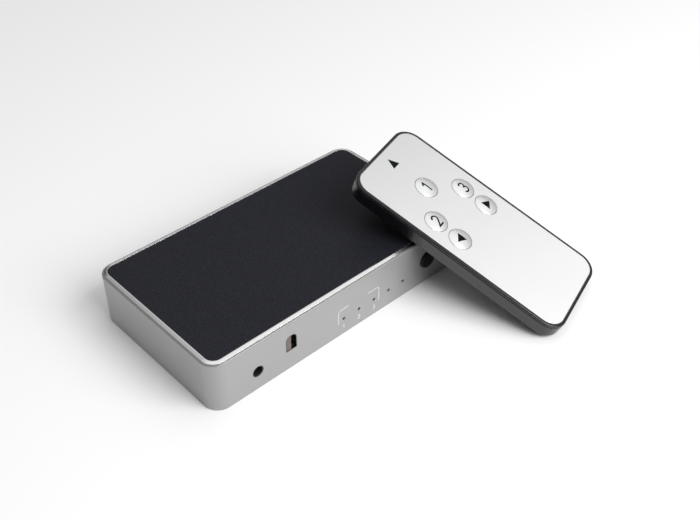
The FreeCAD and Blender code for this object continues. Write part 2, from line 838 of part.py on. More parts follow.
def light_guide():
    body = new_body("light_guide")
    rods_start = front + d.guide_sink
    bar_face = inner_front + d.board_gap + d.guide_bar_gap
    rods = add_sketch(body, "guide_rods", "XZ_Plane", level=-rods_start)
    for i in range(lamps):
        draw_circle(rods, d.lamp_first_x + i * d.lamp_pitch, lamp_z, d.lamp_hole_radius - d.guide_play)
    pad(body, rods, bar_face - rods_start, backwards=True)
    bar = add_sketch(body, "guide_bar", "XZ_Plane", level=-bar_face)
    lamp_last_x = d.lamp_first_x + (lamps - 1) * d.lamp_pitch
    draw_rectangle(bar, (d.lamp_first_x - d.guide_bar_margin, board_top),
                   (lamp_last_x + d.guide_bar_margin, board_top + d.guide_bar_height))
    pad(body, bar, d.guide_bar_depth, backwards=True)
    lights = []
    led_face = bar_face + d.guide_bar_depth + d.guide_play
    for i in range(lamps):
        led_x = d.lamp_first_x + i * d.lamp_pitch - d.led_width / 2
        lights.append(block(f"led {i + 1}", (led_x, led_face, board_top),
                            (d.led_width, d.led_depth, d.led_height)))
    node(group("led group", lights), "indicator_leds")


def select_button():
    """Cap, flange and stem turned as one; the stem ends on the small switch's plunger."""
    cap_radius = d.button_hole_radius - d.button_play
    flange_radius = cap_radius + d.button_flange
    flange_face = -(d.case_wall + d.button_flange_gap + d.button_rise)
    stem_end = flange_face - d.button_flange_thickness - d.button_stem_length
    body = new_body("select_button")
    turned(body, "button_profile", [
        (nil, nil), (cap_radius - d.button_bevel, nil), (cap_radius, -d.button_bevel),
        (cap_radius, flange_face), (flange_radius, flange_face),
        (flange_radius, flange_face - d.button_flange_thickness),
        (d.button_stem_radius, flange_face - d.button_flange_thickness),
        (d.button_stem_radius, stem_end), (nil, stem_end)])
    body.Placement = Placement(Vector(), toward_front)
    bind(body, "Placement.Base.x", button_x)
    bind(body, "Placement.Base.y", front - d.button_rise)
    bind(body, "Placement.Base.z", d.button_z)
    return front - d.button_rise - stem_end


def select_switch(plunger_front):
    x, z = button_x, d.button_z
    plunger_back = plunger_front + d.tact_plunger_length
    housing_face = plunger_back - d.tact_bore_depth + d.button_travel + d.tact_stop_gap
    half = d.tact_width / 2
    cover_face = housing_face - d.tact_cover_thickness
    rise = z + d.tact_rise - board_top
    shell = block("tact block", (x - half, housing_face, board_top), (d.tact_width, d.tact_depth, rise))
    bore_radius = d.tact_plunger_radius + d.tact_bore_play
    bore = rod("tact bore", bore_radius, d.tact_bore_depth, (x, housing_face, z), along_y)
    node(cut("tact housing", shell, bore), "select_switch_housing")
    plate = block("tact plate", (x - half, cover_face, board_top),
                  (d.tact_width, d.tact_cover_thickness, rise))
    hole = rod("tact hole", bore_radius, d.tact_cover_thickness, (x, cover_face, z), along_y)
    node(cut("tact cover", plate, hole), "select_switch_cover")
    node(rod("tact plunger", d.tact_plunger_radius, d.tact_plunger_length, (x, plunger_front, z), along_y),
         "select_switch_plunger")


# Rear row

def socket_x(i):
    return socket_first_x + i * socket_pitch


def slanted_outline(x, z, width, height, slant, grow):
    """A rectangle with its two lower corners cut at 45 degrees, offset outwards by grow."""
    half = width / 2 + grow
    top = height / 2 + grow
    offset_share = 2 - 1 / math.cos(math.pi / 4)
    corner = slant + grow * offset_share
    return [(x - half, z + top), (x - half, z - top + corner), (x - half + corner, z - top),
            (x + half - corner, z - top), (x + half, z - top + corner), (x + half, z + top)]


def socket_outline(x, grow):
    z = board_top + d.socket_sheet + d.socket_height / 2
    return slanted_outline(x, z, d.socket_width, d.socket_height, d.socket_slant, grow)


def power_outline(grow):
    z = board_top + d.socket_sheet + d.power_height / 2
    return slanted_outline(power_x, z, d.power_width, d.power_height, d.power_slant, grow)


def metal_tube(label, outline, depth):
    """A folded sheet-metal shell, open at the rear of the case and closed by a back wall."""
    body = new_body(label)
    mouth = rear - d.socket_sink
    walls = add_sketch(body, label + "_walls", "XZ_Plane", level=-mouth)
    draw_polygon(walls, outline(d.socket_sheet))
    draw_polygon(walls, outline(nil))
    pad(body, walls, depth - d.socket_sheet)
    back = add_sketch(body, label + "_back", "XZ_Plane", level=-(mouth - depth + d.socket_sheet))
    draw_polygon(back, outline(d.socket_sheet))
    pad(body, back, d.socket_sheet)


def video_socket(label, x):
    metal_tube(label + "_shell", lambda grow: socket_outline(x, grow), d.socket_depth)
    z = board_top + d.socket_sheet + d.socket_height / 2 + d.tongue_rise
    block_back = rear - d.socket_sink - d.socket_depth + d.socket_sheet
    block_face = block_back + d.socket_block_depth
    half = d.tongue_width / 2
    rise = d.tongue_thickness / 2

    body = new_body(label + "_tongue")
    root = add_sketch(body, label + "_root", "XZ_Plane", level=-block_face)
    draw_polygon(root, socket_outline(x, -d.insert_play))
    pad(body, root, d.socket_block_depth)
    blade = add_sketch(body, label + "_blade", "XZ_Plane", level=-(block_face + d.tongue_length))
    draw_rectangle(blade, (x - half, z - rise), (x + half, z + rise))
    pad(body, blade, d.tongue_length)

    strips = new_body(label + "_contacts")
    for side, count in ((1, upper_contacts), (-1, lower_contacts)):
        name = label + ("_upper" if side > 0 else "_lower")
        start = x - (count - 1) * d.contact_pitch / 2 - d.contact_width / 2
        base = z + side * rise
        low = base if side > 0 else base - d.contact_thickness
        strip = add_sketch(strips, name, "XZ_Plane", level=-(block_face + d.contact_length))
        draw_rectangle(strip, (start, low), (start + d.contact_width, low + d.contact_thickness))
        first = pad(strips, strip, d.contact_length)
        row = strips.newObject("PartDesign::LinearPattern", name + "_row")
        row.Originals = [first]
        row.Direction = (strip, ["H_Axis"])
        bind(row, "Length", (count - 1) * d.contact_pitch)
        row.Occurrences = count
        strips.Tip = row


def power_socket():
    metal_tube("power_socket_shell", power_outline, d.power_depth)
    z = board_top + d.socket_sheet + d.power_height / 2
    back = rear - d.socket_sink - d.power_depth + d.socket_sheet
    root_depth = d.power_depth - d.socket_sheet - d.power_tongue_length - d.socket_sink
    half = d.power_tongue_width / 2
    rise = d.power_tongue_thickness / 2
    body = new_body("power_socket_tongue")
    root = add_sketch(body, "power_root", "XZ_Plane", level=-(back + root_depth))
    draw_polygon(root, power_outline(-d.insert_play))
    pad(body, root, root_depth)
    blade = add_sketch(body, "power_blade", "XZ_Plane", level=-(back + root_depth + d.power_tongue_length))
    draw_rectangle(blade, (power_x - half, z - rise), (power_x + half, z + rise))
    pad(body, blade, d.power_tongue_length)


def on_board(label, sizes, places):
    """Small solids of one size, standing on the board with their middles at the places given."""
    solids = []
    for i, (x, y) in enumerate(places):
        solids.append(block(f"{label} {i + 1}", (x - sizes[0] / 2, y - sizes[1] / 2, board_top), sizes))
    return solids


def board_components():
    """The chips stand in a row, the supply beside it and the protection behind each socket."""
    chip_edge = d.switch_chip_side / 2
    behind_sockets = rear - d.socket_sink - d.socket_depth - d.part_gap - d.protection_length / 2
    row_y = behind_sockets - d.protection_length / 2 - d.chip_row_gap - chip_edge
    crystal_x = -(chip_edge + d.part_gap + d.crystal_width / 2)
    control_x = crystal_x - d.crystal_width / 2 - d.part_gap - d.control_chip_side / 2
    supply_x = power_x - d.supply_offset
    regulator_y = row_y + d.inductor_side / 2 + d.part_gap + d.regulator_length / 2
    capacitor_y = row_y - d.inductor_side / 2 - d.part_gap - d.capacitor_length / 2
    row = {
        "switch_chip": on_board("switch chip", (d.switch_chip_side, d.switch_chip_side, d.switch_chip_height),
                                [(nil, row_y)]),
        "control_chip": on_board("control chip",
                                 (d.control_chip_side, d.control_chip_side, d.control_chip_height),
                                 [(control_x, row_y)]),
        "crystal": on_board("crystal can", (d.crystal_width, d.crystal_length, d.crystal_height),
                            [(crystal_x, row_y)]),
        "regulator": on_board("regulator block", (d.regulator_width, d.regulator_length, d.regulator_height),
                              [(supply_x, regulator_y)]),
        "power_inductor": on_board("inductor block", (d.inductor_side, d.inductor_side, d.inductor_height),
                                   [(supply_x, row_y)]),
        "protection_chips": on_board("protection chip",
                                     (d.protection_width, d.protection_length, d.protection_height),
                                     [(socket_x(i), behind_sockets) for i in range(sockets)]),
    }
    small = (d.small_capacitor_width, d.small_capacitor_length, d.small_capacitor_height)
    beside_chip = chip_edge + d.part_gap
    row["capacitors"] = on_board("capacitor", (d.capacitor_width, d.capacitor_length, d.capacitor_height),
                                 [(supply_x + i * d.capacitor_pitch, capacitor_y) for i in range(3)])
    row["capacitors"] += on_board("small capacitor", small,
                                  [(beside_chip, row_y), (beside_chip, row_y - d.part_gap),
                                   (nil, row_y - beside_chip), (control_x, row_y - d.part_gap * 2)])
    for label, solids in row.items():
        node(group(label + " group", solids) if len(solids) > 1 else solids[0], label)


# Card remote, modelled flat: X from its pointing end to its battery end, Z up through the keys

deck_top = d.remote_thickness - d.overlay_sink - d.overlay_thickness
deck_level = deck_top - d.deck_thickness
card_top = d.card_level + d.card_thickness
end_x = d.remote_length / 2
card_start = d.card_inset - end_x
card_end = end_x - d.tray_length - d.card_tray_gap
card_middle = (card_start + card_end) / 2
cell_x = end_x - d.tray_end - d.cell_radius - d.cell_play
key_first_x = d.key_inset - end_x
key_places = {
    "remote_key_1": (key_first_x, nil),
    "remote_key_2": (key_first_x + d.key_step_x, -d.key_step_y),
    "remote_key_3": (key_first_x + d.key_step_x, d.key_step_y),
    "remote_key_back": (key_first_x + 2 * d.key_step_x, -d.key_step_y),
    "remote_key_next": (key_first_x + 2 * d.key_step_x, d.key_step_y),
}
post_places = [(x, sy * (d.card_width / 2 - d.post_margin))
               for x in (card_start + d.post_margin, card_end - d.post_margin) for sy in (-1, 1)]


def remote_placement():
    """The remote's underside lies just off the case's rounded corner, its lower end rests on the floor."""
    turn = math.radians(float(d.remote_turn))
    along = Vector(math.sin(turn), -math.cos(turn), 0)
    across = Vector(math.cos(turn), math.sin(turn), 0)
    corner = Vector(float(d.case_length / 2 - d.case_corner), float(front + d.case_corner), 0)
    foot = corner + along * float(d.remote_reach) + across * float(d.remote_shift)
    foot_round = float(d.remote_round)
    foot.z = foot_round
    reach = float(d.remote_reach - d.case_corner + d.land_round)
    drop = float(land_level - d.land_round) - foot_round
    apart = foot_round + float(d.land_round + d.lean_gap)
    lean = math.atan2(drop, reach) + math.asin(apart / math.hypot(reach, drop))
    heading = Rotation(Vector(0, 0, 1), math.degrees(turn) - 90)
    rotation = heading * Rotation(Vector(0, 1, 0), math.degrees(lean))
    foot_local = Vector(float(end_x) - foot_round, 0, foot_round)
    return Placement(foot - rotation.multVec(foot_local), rotation)


leaning = remote_placement()


def on_remote(thing, x=nil, y=nil):
    thing.Placement = leaning * Placement(Vector(float(x), float(y), 0), Rotation())
    return thing


def remote_outline(sketch, inset):
    draw_rounded(sketch, d.remote_length - 2 * inset, d.remote_width - 2 * inset, d.remote_corner - inset)


def remote_bottom_shell():
    body = new_body("remote_bottom_shell")
    outline = add_sketch(body, "bottom_outline")
    remote_outline(outline, nil)
    solid = pad(body, outline, d.remote_parting)
    round_edges(body, solid, at_level(0), d.remote_round)
    hollow = add_sketch(body, "bottom_hollow", level=d.remote_parting)
    remote_outline(hollow, d.remote_wall)
    pocket(body, hollow, d.remote_parting - d.remote_floor)

    posts = add_sketch(body, "posts", level=d.remote_floor)
    for x, y in post_places:
        draw_circle(posts, x, y, d.post_radius)
    pad(body, posts, d.card_level - d.remote_floor)
    pins = add_sketch(body, "pins", level=d.card_level)
    for x, y in post_places:
        draw_circle(pins, x, y, d.post_pin_radius)
    pad(body, pins, d.card_thickness + d.pin_rise)

    rails = add_sketch(body, "tray_rails", level=d.remote_floor)
    side = d.tray_width / 2 + d.tray_side_play
    for low, high in ((side, side + d.rail_width), (-side - d.rail_width, -side)):
        draw_rectangle(rails, (end_x - d.tray_length, low), (end_x - d.remote_wall, high))
    pad(body, rails, d.remote_parting - d.remote_floor)
    slot = add_sketch(body, "tray_slot", "YZ_Plane", level=end_x)
    draw_rectangle(slot, (-side, d.remote_floor), (side, d.remote_parting))
    pocket(body, slot, d.remote_wall)
    groove = add_sketch(body, "leaf_groove", level=d.remote_floor)
    draw_rectangle(groove, (card_end - d.leaf_width, -d.leaf_width / 2 - d.window_play),
                   (cell_x, d.leaf_width / 2 + d.window_play))
    pocket(body, groove, d.leaf_thickness + d.window_play)
    window = add_sketch(body, "emitter_window", "YZ_Plane", level=-end_x)
    middle = card_middle_level()
    draw_rectangle(window, (-d.window_plate_width / 2, middle - d.window_plate_height / 2),
                   (d.window_plate_width / 2, middle + d.window_plate_height / 2))
    pocket(body, window, d.remote_wall, backwards=True)
    on_remote(body)


def card_middle_level():
    return d.card_level + d.card_thickness / 2


def remote_top_shell():
    """The deck and rim, on a set-back foot that leaves a groove round the remote above the parting."""
    body = new_body("remote_top_shell")
    rim_low = d.remote_parting + d.remote_groove
    outline = add_sketch(body, "top_outline", level=rim_low)
    remote_outline(outline, nil)
    solid = pad(body, outline, d.remote_thickness - rim_low)
    round_edges(body, solid, at_level(d.remote_thickness), d.remote_rim_round)
    foot = add_sketch(body, "top_foot", level=d.remote_parting)
    remote_outline(foot, d.remote_groove_depth)
    pad(body, foot, d.remote_groove)
    recess = add_sketch(body, "overlay_recess", level=d.remote_thickness)
    remote_outline(recess, d.overlay_inset)
    pocket(body, recess, d.overlay_thickness + d.overlay_sink)
    hollow = add_sketch(body, "top_hollow", level=d.remote_parting)
    remote_outline(hollow, d.remote_wall)
    pocket(body, hollow, deck_level - d.remote_parting, backwards=True)
    holes = add_sketch(body, "key_holes", level=deck_top)
    for x, y in key_places.values():
        draw_circle(holes, x, y, d.key_radius + d.key_gap)
    pocket(body, holes, d.deck_thickness)
    stops = add_sketch(body, "card_stops", level=card_top + d.pin_rise + d.window_play)
    for x, y in post_places:
        draw_circle(stops, x, y, d.post_radius)
    pad(body, stops, deck_level - card_top - d.pin_rise - d.window_play)
    on_remote(body)


def remote_overlay():
    body = new_body("remote_overlay")
    film = add_sketch(body, "overlay", level=deck_top)
    remote_outline(film, d.overlay_inset + d.window_play)
    for x, y in key_places.values():
        draw_circle(film, x, y, d.key_radius + d.key_gap)
    pad(body, film, d.overlay_thickness)
    on_remote(body)


def draw_key_profile(sketch):
    """Stem, flange and straight side, closed by an arc over the top."""
    side_top = deck_top + d.overlay_thickness
    flange_top = deck_level - d.key_seat_gap
    flange_low = flange_top - d.key_flange_thickness
    stem_low = card_top + d.snap_height + d.key_travel + d.key_seat_gap / 2
    flange = d.key_radius + d.key_flange
    points = [(nil, stem_low), (d.key_stem_radius, stem_low), (d.key_stem_radius, flange_low),
              (flange, flange_low), (flange, flange_top), (d.key_radius, flange_top),
              (d.key_radius, side_top), (nil, side_top + d.key_dome)]
    dome_radius = (d.key_radius * d.key_radius + d.key_dome * d.key_dome) / (2 * d.key_dome)
    places = [Vector(float(x), float(y), 0) for x, y in points]
    last = len(points) - 1
    centre = Vector(0, places[last].y - float(dome_radius), 0)
    half_angle = math.asin(float(d.key_radius) / float(dome_radius))
    circle = Part.Circle(centre, Vector(0, 0, 1), float(dome_radius))
    for i in range(last - 1):
        sketch.addGeometry(Part.LineSegment(places[i], places[i + 1]), False)
    sketch.addGeometry(Part.ArcOfCircle(circle, math.pi / 2 - half_angle, math.pi / 2), False)
    sketch.addGeometry(Part.LineSegment(places[last], places[0]), False)
    for i in range(last - 2):
        sketch.addConstraint(Sketcher.Constraint("Coincident", i, 2, i + 1, 1))
    arc, axis_line = last - 1, last
    sketch.addConstraint(Sketcher.Constraint("Coincident", last - 2, 2, arc, 1))
    sketch.addConstraint(Sketcher.Constraint("Coincident", arc, 2, axis_line, 1))
    sketch.addConstraint(Sketcher.Constraint("Coincident", axis_line, 2, 0, 1))
    for i, (x, y) in enumerate(points[:last - 1]):
        hold(sketch, "DistanceX", (-1, 1, i, 1), x)
        hold(sketch, "DistanceY", (-1, 1, i, 1), y)
    hold(sketch, "DistanceX", (-1, 1, last - 2, 2), points[last - 1][0])
    hold(sketch, "DistanceY", (-1, 1, last - 2, 2), points[last - 1][1])
    hold(sketch, "DistanceX", (-1, 1, axis_line, 1), points[last][0])
    hold(sketch, "DistanceY", (-1, 1, axis_line, 1), points[last][1])
    hold(sketch, "Radius", (arc,), dome_radius)


def remote_keys():
    for label, (x, y) in key_places.items():
        body = new_body(label)
        profile = add_sketch(body, label + "_profile", "XZ_Plane")
        draw_key_profile(profile)
        feature = body.newObject("PartDesign::Revolution", label + "_turn")
        feature.Profile = profile
        feature.ReferenceAxis = (profile, ["V_Axis"])
        feature.Angle = 360
        on_remote(body, x, y)


def remote_card():
    """The circuit card on its posts, with the snap domes under the keys and the parts it carries."""
    body = new_body("remote_card")
    outline = add_sketch(body, "card", level=d.card_level)
    draw_rounded(outline, card_end - card_start, d.card_width, d.post_margin, (card_middle, nil))
    for x, y in post_places:
        draw_circle(outline, x, y, d.post_pin_radius + d.post_play)
    pad(body, outline, d.card_thickness)
    on_remote(body)

    domes = []
    for label, (x, y) in key_places.items():
        dome = doc.addObject("Part::Cone", label + " dome")
        bind(dome, "Radius1", d.snap_radius)
        bind(dome, "Radius2", d.key_stem_radius)
        bind(dome, "Height", d.snap_height)
        bind(dome, "Placement.Base.x", x)
        bind(dome, "Placement.Base.y", y)
        bind(dome, "Placement.Base.z", card_top)
        domes.append(dome)
    on_remote(node(group("snap dome group", domes), "remote_snap_domes"))

    chip_x = card_middle + d.remote_chip_offset
    chip = block("remote chip block",
                 (chip_x - d.remote_chip_length / 2, -d.remote_chip_width / 2, card_top),
                 (d.remote_chip_length, d.remote_chip_width, d.remote_chip_height))
    on_remote(node(group("remote chip group", [chip]), "remote_chip"))
    resonator_start = chip_x + d.remote_chip_length / 2 + d.resonator_gap
    resonator = block("resonator block", (resonator_start, -d.resonator_width / 2, card_top),
                      (d.resonator_length, d.resonator_width, d.resonator_height))
    on_remote(node(group("resonator group", [resonator]), "remote_resonator"))

    emitter_start = -end_x + d.remote_wall + d.window_play
    bulb = rod("emitter bulb", d.emitter_radius, d.emitter_length, (emitter_start, nil, card_middle_level()),
               along_x)
    on_remote(node(group("emitter group", [bulb]), "remote_emitter"))
    leads = []
    lead_start = emitter_start + d.emitter_length
    for i, side in enumerate((-1, 1)):
        y = side * d.emitter_radius / 2 - d.lead_width / 2
        leads.append(block(f"emitter lead {i + 1}", (lead_start, y, card_top),
                           (card_start + d.leaf_width - lead_start, d.lead_width, d.lead_width)))
    on_remote(node(group("emitter lead group", leads), "remote_emitter_leads"))
    middle = card_middle_level()
    width = d.window_plate_width - 2 * d.window_play
    height = d.window_plate_height - 2 * d.window_play
    plate = block("window plate block", (-end_x + 2 * d.window_play, -width / 2, middle - height / 2),
                  (d.remote_wall - 2 * d.window_play, width, height))
    on_remote(node(group("window plate group", [plate]), "remote_window"))


def remote_battery():
    """A tray that slides out of the lower end with its coin cell, and the two contact leaves."""
    body = new_body("remote_battery_tray")
    tray_low = d.remote_floor + d.tray_play
    tray_high = d.remote_parting - d.tray_play
    outline = add_sketch(body, "tray", level=tray_low)
    draw_rectangle(outline, (end_x - d.tray_length, -d.tray_width / 2), (end_x, d.tray_width / 2))
    pad(body, outline, tray_high - tray_low)
    seat = add_sketch(body, "cell_seat", level=tray_high)
    draw_circle(seat, cell_x, nil, d.cell_radius + d.cell_play / 2)
    pocket(body, seat, tray_high - tray_low - d.tray_floor)
    slit = add_sketch(body, "leaf_slit", level=tray_low)
    draw_rectangle(slit, (cell_x - d.cell_radius / 2, -d.leaf_width / 2),
                   (cell_x + d.cell_radius / 4, d.leaf_width / 2))
    pocket(body, slit, d.tray_floor, backwards=True)
    grip = add_sketch(body, "grip", "YZ_Plane", level=end_x)
    draw_rectangle(grip, (-d.grip_width / 2, tray_low), (d.grip_width / 2, tray_low + d.grip_height))
    pocket(body, grip, d.grip_depth)
    on_remote(body)

    cell = rod("cell disc", d.cell_radius, d.cell_height, (cell_x, nil, tray_low + d.tray_floor))
    on_remote(node(group("cell group", [cell]), "remote_coin_cell"))

    tab_x = card_end - d.leaf_width
    upper_y = d.cell_radius / 2
    lower_level = d.remote_floor - d.leaf_thickness
    leaves = [
        block("upper leaf", (tab_x, upper_y, d.remote_parting),
              (cell_x - d.cell_radius / 2 - tab_x, d.leaf_width, d.leaf_thickness)),
        block("upper leaf tab", (tab_x, upper_y, card_top),
              (d.leaf_thickness, d.leaf_width, d.remote_parting - card_top)),
        block("lower leaf", (tab_x + d.window_play, -d.leaf_width / 2, lower_level),
              (cell_x - tab_x - 2 * d.window_play, d.leaf_width, d.leaf_thickness)),
        block("lower leaf tab", (tab_x + d.window_play, -d.leaf_width / 2, d.remote_floor),
              (d.leaf_thickness, d.leaf_width, d.card_level - d.remote_floor)),
    ]
    upper = fuse("upper leaf whole", leaves[:2])
    lower = fuse("lower leaf whole", leaves[2:])
    on_remote(node(group("leaf group", [upper, lower]), "remote_battery_contacts"))


case_shell()
rear_panel()
top_frame()
top_panel()
panel_adhesive()
base_plate()
base_screws()
main_board()
board_screws()
ir_jack()
ir_receiver()
receiver_shade()
light_guide()
select_switch(select_button())
for number in range(sockets):
    name = f"video_in_{number + 1}" if number < sockets - 1 else "video_out"
    video_socket(name, socket_x(number))
power_socket()
board_components()
remote_bottom_shell()
remote_top_shell()
remote_overlay()
remote_keys()
remote_card()
remote_battery()
doc.recompute()

for thing in doc.Objects:
    if "Invalid" in thing.State or "Error" in thing.State:
        raise RuntimeError(f"{thing.Label} failed: {thing.State}")
for thing in nodes:
    if thing.Shape.isNull() or not thing.Shape.isValid():
        raise RuntimeError(f"{thing.Label} has no valid shape")

os.makedirs("parts", exist_ok=True)
for thing in nodes:
    thing.Shape.exportStep(os.path.join("parts", thing.Label + ".step"))
print(len(nodes), "nodes written")
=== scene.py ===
import json

import bmesh
import bpy
import numpy as np
from mathutils import Matrix, Vector


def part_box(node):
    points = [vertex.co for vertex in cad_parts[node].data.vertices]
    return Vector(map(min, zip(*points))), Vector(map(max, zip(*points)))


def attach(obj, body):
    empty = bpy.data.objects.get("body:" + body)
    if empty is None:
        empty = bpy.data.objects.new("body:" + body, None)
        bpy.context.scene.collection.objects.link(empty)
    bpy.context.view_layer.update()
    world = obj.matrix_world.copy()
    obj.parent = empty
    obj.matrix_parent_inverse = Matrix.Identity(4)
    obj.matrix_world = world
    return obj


# A video switch with its card remote leaning on one corner.
# Lengths in the dictionaries are millimetres unless a note says otherwise.

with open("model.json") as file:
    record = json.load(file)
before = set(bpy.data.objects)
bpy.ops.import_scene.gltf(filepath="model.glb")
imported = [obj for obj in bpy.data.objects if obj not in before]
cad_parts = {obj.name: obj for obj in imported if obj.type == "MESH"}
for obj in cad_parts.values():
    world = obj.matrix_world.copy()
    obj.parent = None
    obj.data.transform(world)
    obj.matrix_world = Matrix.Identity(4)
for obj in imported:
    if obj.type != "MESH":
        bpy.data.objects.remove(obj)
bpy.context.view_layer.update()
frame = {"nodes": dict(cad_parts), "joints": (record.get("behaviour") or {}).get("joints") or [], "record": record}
nodes = frame["nodes"]
mm = 0.001
white = (1.0, 1.0, 1.0, 1.0)
print("frame loaded:", len(nodes), "nodes")


# Surfaces worked out as whole arrays

mergeReach = 1e-7  # metres: points closer than this become one


def surfaceMesh(name, shells):
    # a shell is rows x columns x 3 points and two flags: whether each row closes into a ring,
    # and whether the first and last rows are filled; quads join neighbouring points
    bm = bmesh.new()
    for grid, closeAcross, caps in shells:
        rows, columns = grid.shape[:2]
        index = np.arange(rows * columns).reshape(rows, columns)
        ring = np.hstack([index, index[:, :1]]) if closeAcross else index
        quads = np.stack([ring[:-1, :-1], ring[:-1, 1:], ring[1:, 1:], ring[1:, :-1]], -1)
        faces = quads.reshape(-1, 4).tolist()
        if caps:
            faces += [index[0].tolist(), index[-1].tolist()]
        part = bpy.data.meshes.new(name + "Part")
        part.from_pydata(grid.reshape(-1, 3).tolist(), [], faces)
        bm.from_mesh(part)
        bpy.data.meshes.remove(part)
    bmesh.ops.remove_doubles(bm, verts=bm.verts, dist=mergeReach)
    bmesh.ops.recalc_face_normals(bm, faces=bm.faces)
    mesh = bpy.data.meshes.new(name)
    bm.to_mesh(mesh)
    bm.free()
    return mesh


def surfaceObject(name, shells):
    thing = bpy.data.objects.new(name, surfaceMesh(name, shells))
    bpy.context.scene.collection.objects.link(thing)
    return thing


def addPiece(name, shells, body, finish, smooth=False):
    piece = surfaceObject(name, shells)
    piece.data.materials.append(materials[finish])
    if smooth:
        piece.data.polygons.foreach_set("use_smooth", [True] * len(piece.data.polygons))
    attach(piece, body)


def nodeBox(name):
    low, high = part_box(name)
    return np.array(low) / mm, np.array(high) / mm


# Camera, lights and floor

cameraLook = {
    "place": (-164.238, -204.770, 229.501),
    "forward": (0.52992, 0.55701, -0.63947),
    "right": (0.72791, -0.68565, 0.00598),
    "lens": 50.135,
    "sensorWidth": 36.0,
    "nearest": 10.0,  # what is closer than this isn't drawn
}


def makeCamera(look):
    # the right direction is made square to the forward one, and up follows from the two
    forward = Vector(look["forward"]).normalized()
    right = (Vector(look["right"]) - forward * forward.dot(Vector(look["right"]))).normalized()
    up = right.cross(forward)
    data = bpy.data.cameras.new("camera")
    data.lens = look["lens"]
    data.sensor_width = look["sensorWidth"]
    data.sensor_fit = "HORIZONTAL"
    data.clip_start = look["nearest"] * mm
    camera = bpy.data.objects.new("camera", data)
    turn = Matrix((right, up, -forward)).transposed().to_4x4()
    camera.matrix_world = Matrix.Translation(Vector(look["place"]) * mm) @ turn
    bpy.context.scene.collection.objects.link(camera)
    bpy.context.scene.camera = camera


keyLamp = {
    "toward": (0.21, -0.75, 0.63),  # a large lamp in front
    "distance": 900.0,
    "size": 680.0,
    "power": 8.4,  # watts
}


def addKeyLamp(look):
    # the lamp shines back at the middle of the scene
    place = np.array(look["toward"]) / np.linalg.norm(look["toward"]) * look["distance"]
    data = bpy.data.lights.new("keyLight", "AREA")
    data.shape = "SQUARE"
    data.size = look["size"] * mm
    data.energy = look["power"]
    lamp = bpy.data.objects.new("keyLight", data)
    lamp.location = Vector(place) * mm
    lamp.rotation_euler = Vector(place).to_track_quat("Z", "Y").to_euler()
    bpy.context.scene.collection.objects.link(lamp)


def putNode(tree, kind, values=None, **settings):
    node = tree.nodes.new(kind)
    for key, value in settings.items():
        setattr(node, key, value)
    for key, value in (values or {}).items():
        node.inputs[key].default_value = value
    return node


skyLook = {
    "toward": (0.20, -0.01, 0.98),  # the bright part of the sky
    "darkFrom": 0.41,  # cosine to that direction at which the sky is darkest
    "brightFrom": 0.975,  # and at which it is brightest
    "dim": 0.11,
    "bright": 0.96,
    "onMatt": 1.1,  # share of the sky that lights matt surfaces
}


def makeWorld(look):
    # the sky is white on one side and grey opposite it, the same for camera, metal and glass
    world = bpy.data.worlds.new("studio")
    world.use_nodes = True
    tree = world.node_tree
    tree.nodes.clear()
    link = tree.links.new
    way = putNode(tree, "ShaderNodeTexCoord")
    facing = putNode(tree, "ShaderNodeVectorMath", {1: Vector(look["toward"]).normalized()},
                     operation="DOT_PRODUCT")
    link(way.outputs["Generated"], facing.inputs[0])
    glow = putNode(tree, "ShaderNodeMapRange",
                   {"From Min": look["darkFrom"], "From Max": look["brightFrom"],
                    "To Min": look["dim"], "To Max": look["bright"]},
                   interpolation_type="SMOOTHSTEP")
    link(facing.outputs["Value"], glow.inputs["Value"])
    path = putNode(tree, "ShaderNodeLightPath")
    seen = putNode(tree, "ShaderNodeMath", operation="MAXIMUM")
    link(path.outputs["Is Camera Ray"], seen.inputs[0])
    link(path.outputs["Is Glossy Ray"], seen.inputs[1])
    shown = putNode(tree, "ShaderNodeMath", operation="MAXIMUM")
    link(seen.outputs[0], shown.inputs[0])
    link(path.outputs["Is Transmission Ray"], shown.inputs[1])
    share = putNode(tree, "ShaderNodeMapRange", {"To Min": look["onMatt"], "To Max": 1.0})
    link(shown.outputs[0], share.inputs["Value"])
    level = putNode(tree, "ShaderNodeMath", operation="MULTIPLY")
    link(glow.outputs["Result"], level.inputs[0])
    link(share.outputs["Result"], level.inputs[1])
    sky = putNode(tree, "ShaderNodeBackground", {"Color": white})
    link(level.outputs[0], sky.inputs["Strength"])
    output = putNode(tree, "ShaderNodeOutputWorld")
    link(sky.outputs[0], output.inputs["Surface"])
    bpy.context.scene.world = world


floorPaper = {
    "colour": (0.88, 0.88, 0.883),
    "rough": 0.9,
    "specular": 0.1,
    "reach": 3000.0,  # from the middle to each side
    "points": 13,  # along each side
    "drop": 0.03,  # below the case
}


def makeFloor(look):
    # a flat square grid of points
    reach = look["reach"] * mm
    along = np.linspace(-reach, reach, look["points"])
    x, y = np.meshgrid(along, along, indexing="ij")
    grid = np.stack([x, y, np.full_like(x, -look["drop"] * mm)], -1)
    floor = surfaceObject("floor", [(grid, False, False)])
    material = bpy.data.materials.new("floorPaper")
    material.use_nodes = True
    shader = material.node_tree.nodes["Principled BSDF"]
    shader.inputs["Base Color"].default_value = (*look["colour"], 1)
    shader.inputs["Roughness"].default_value = look["rough"]
    shader.inputs["Specular IOR Level"].default_value = look["specular"]
    floor.data.materials.append(material)


# Materials: four shared effects, then one finish for each slot

plainFinish = {  # what a finish has where it doesn't say otherwise
    "grainScale": 3000.0,
    "contrast": 1.6,
    "stretch": (1.0, 1.0, 1.0),
    "marksScale": 60.0,
    "edge": 0.08,  # radius of the softened edges
    "bump": 0.05,
    "bumpDepth": 0.02,
    "shader": {},
}


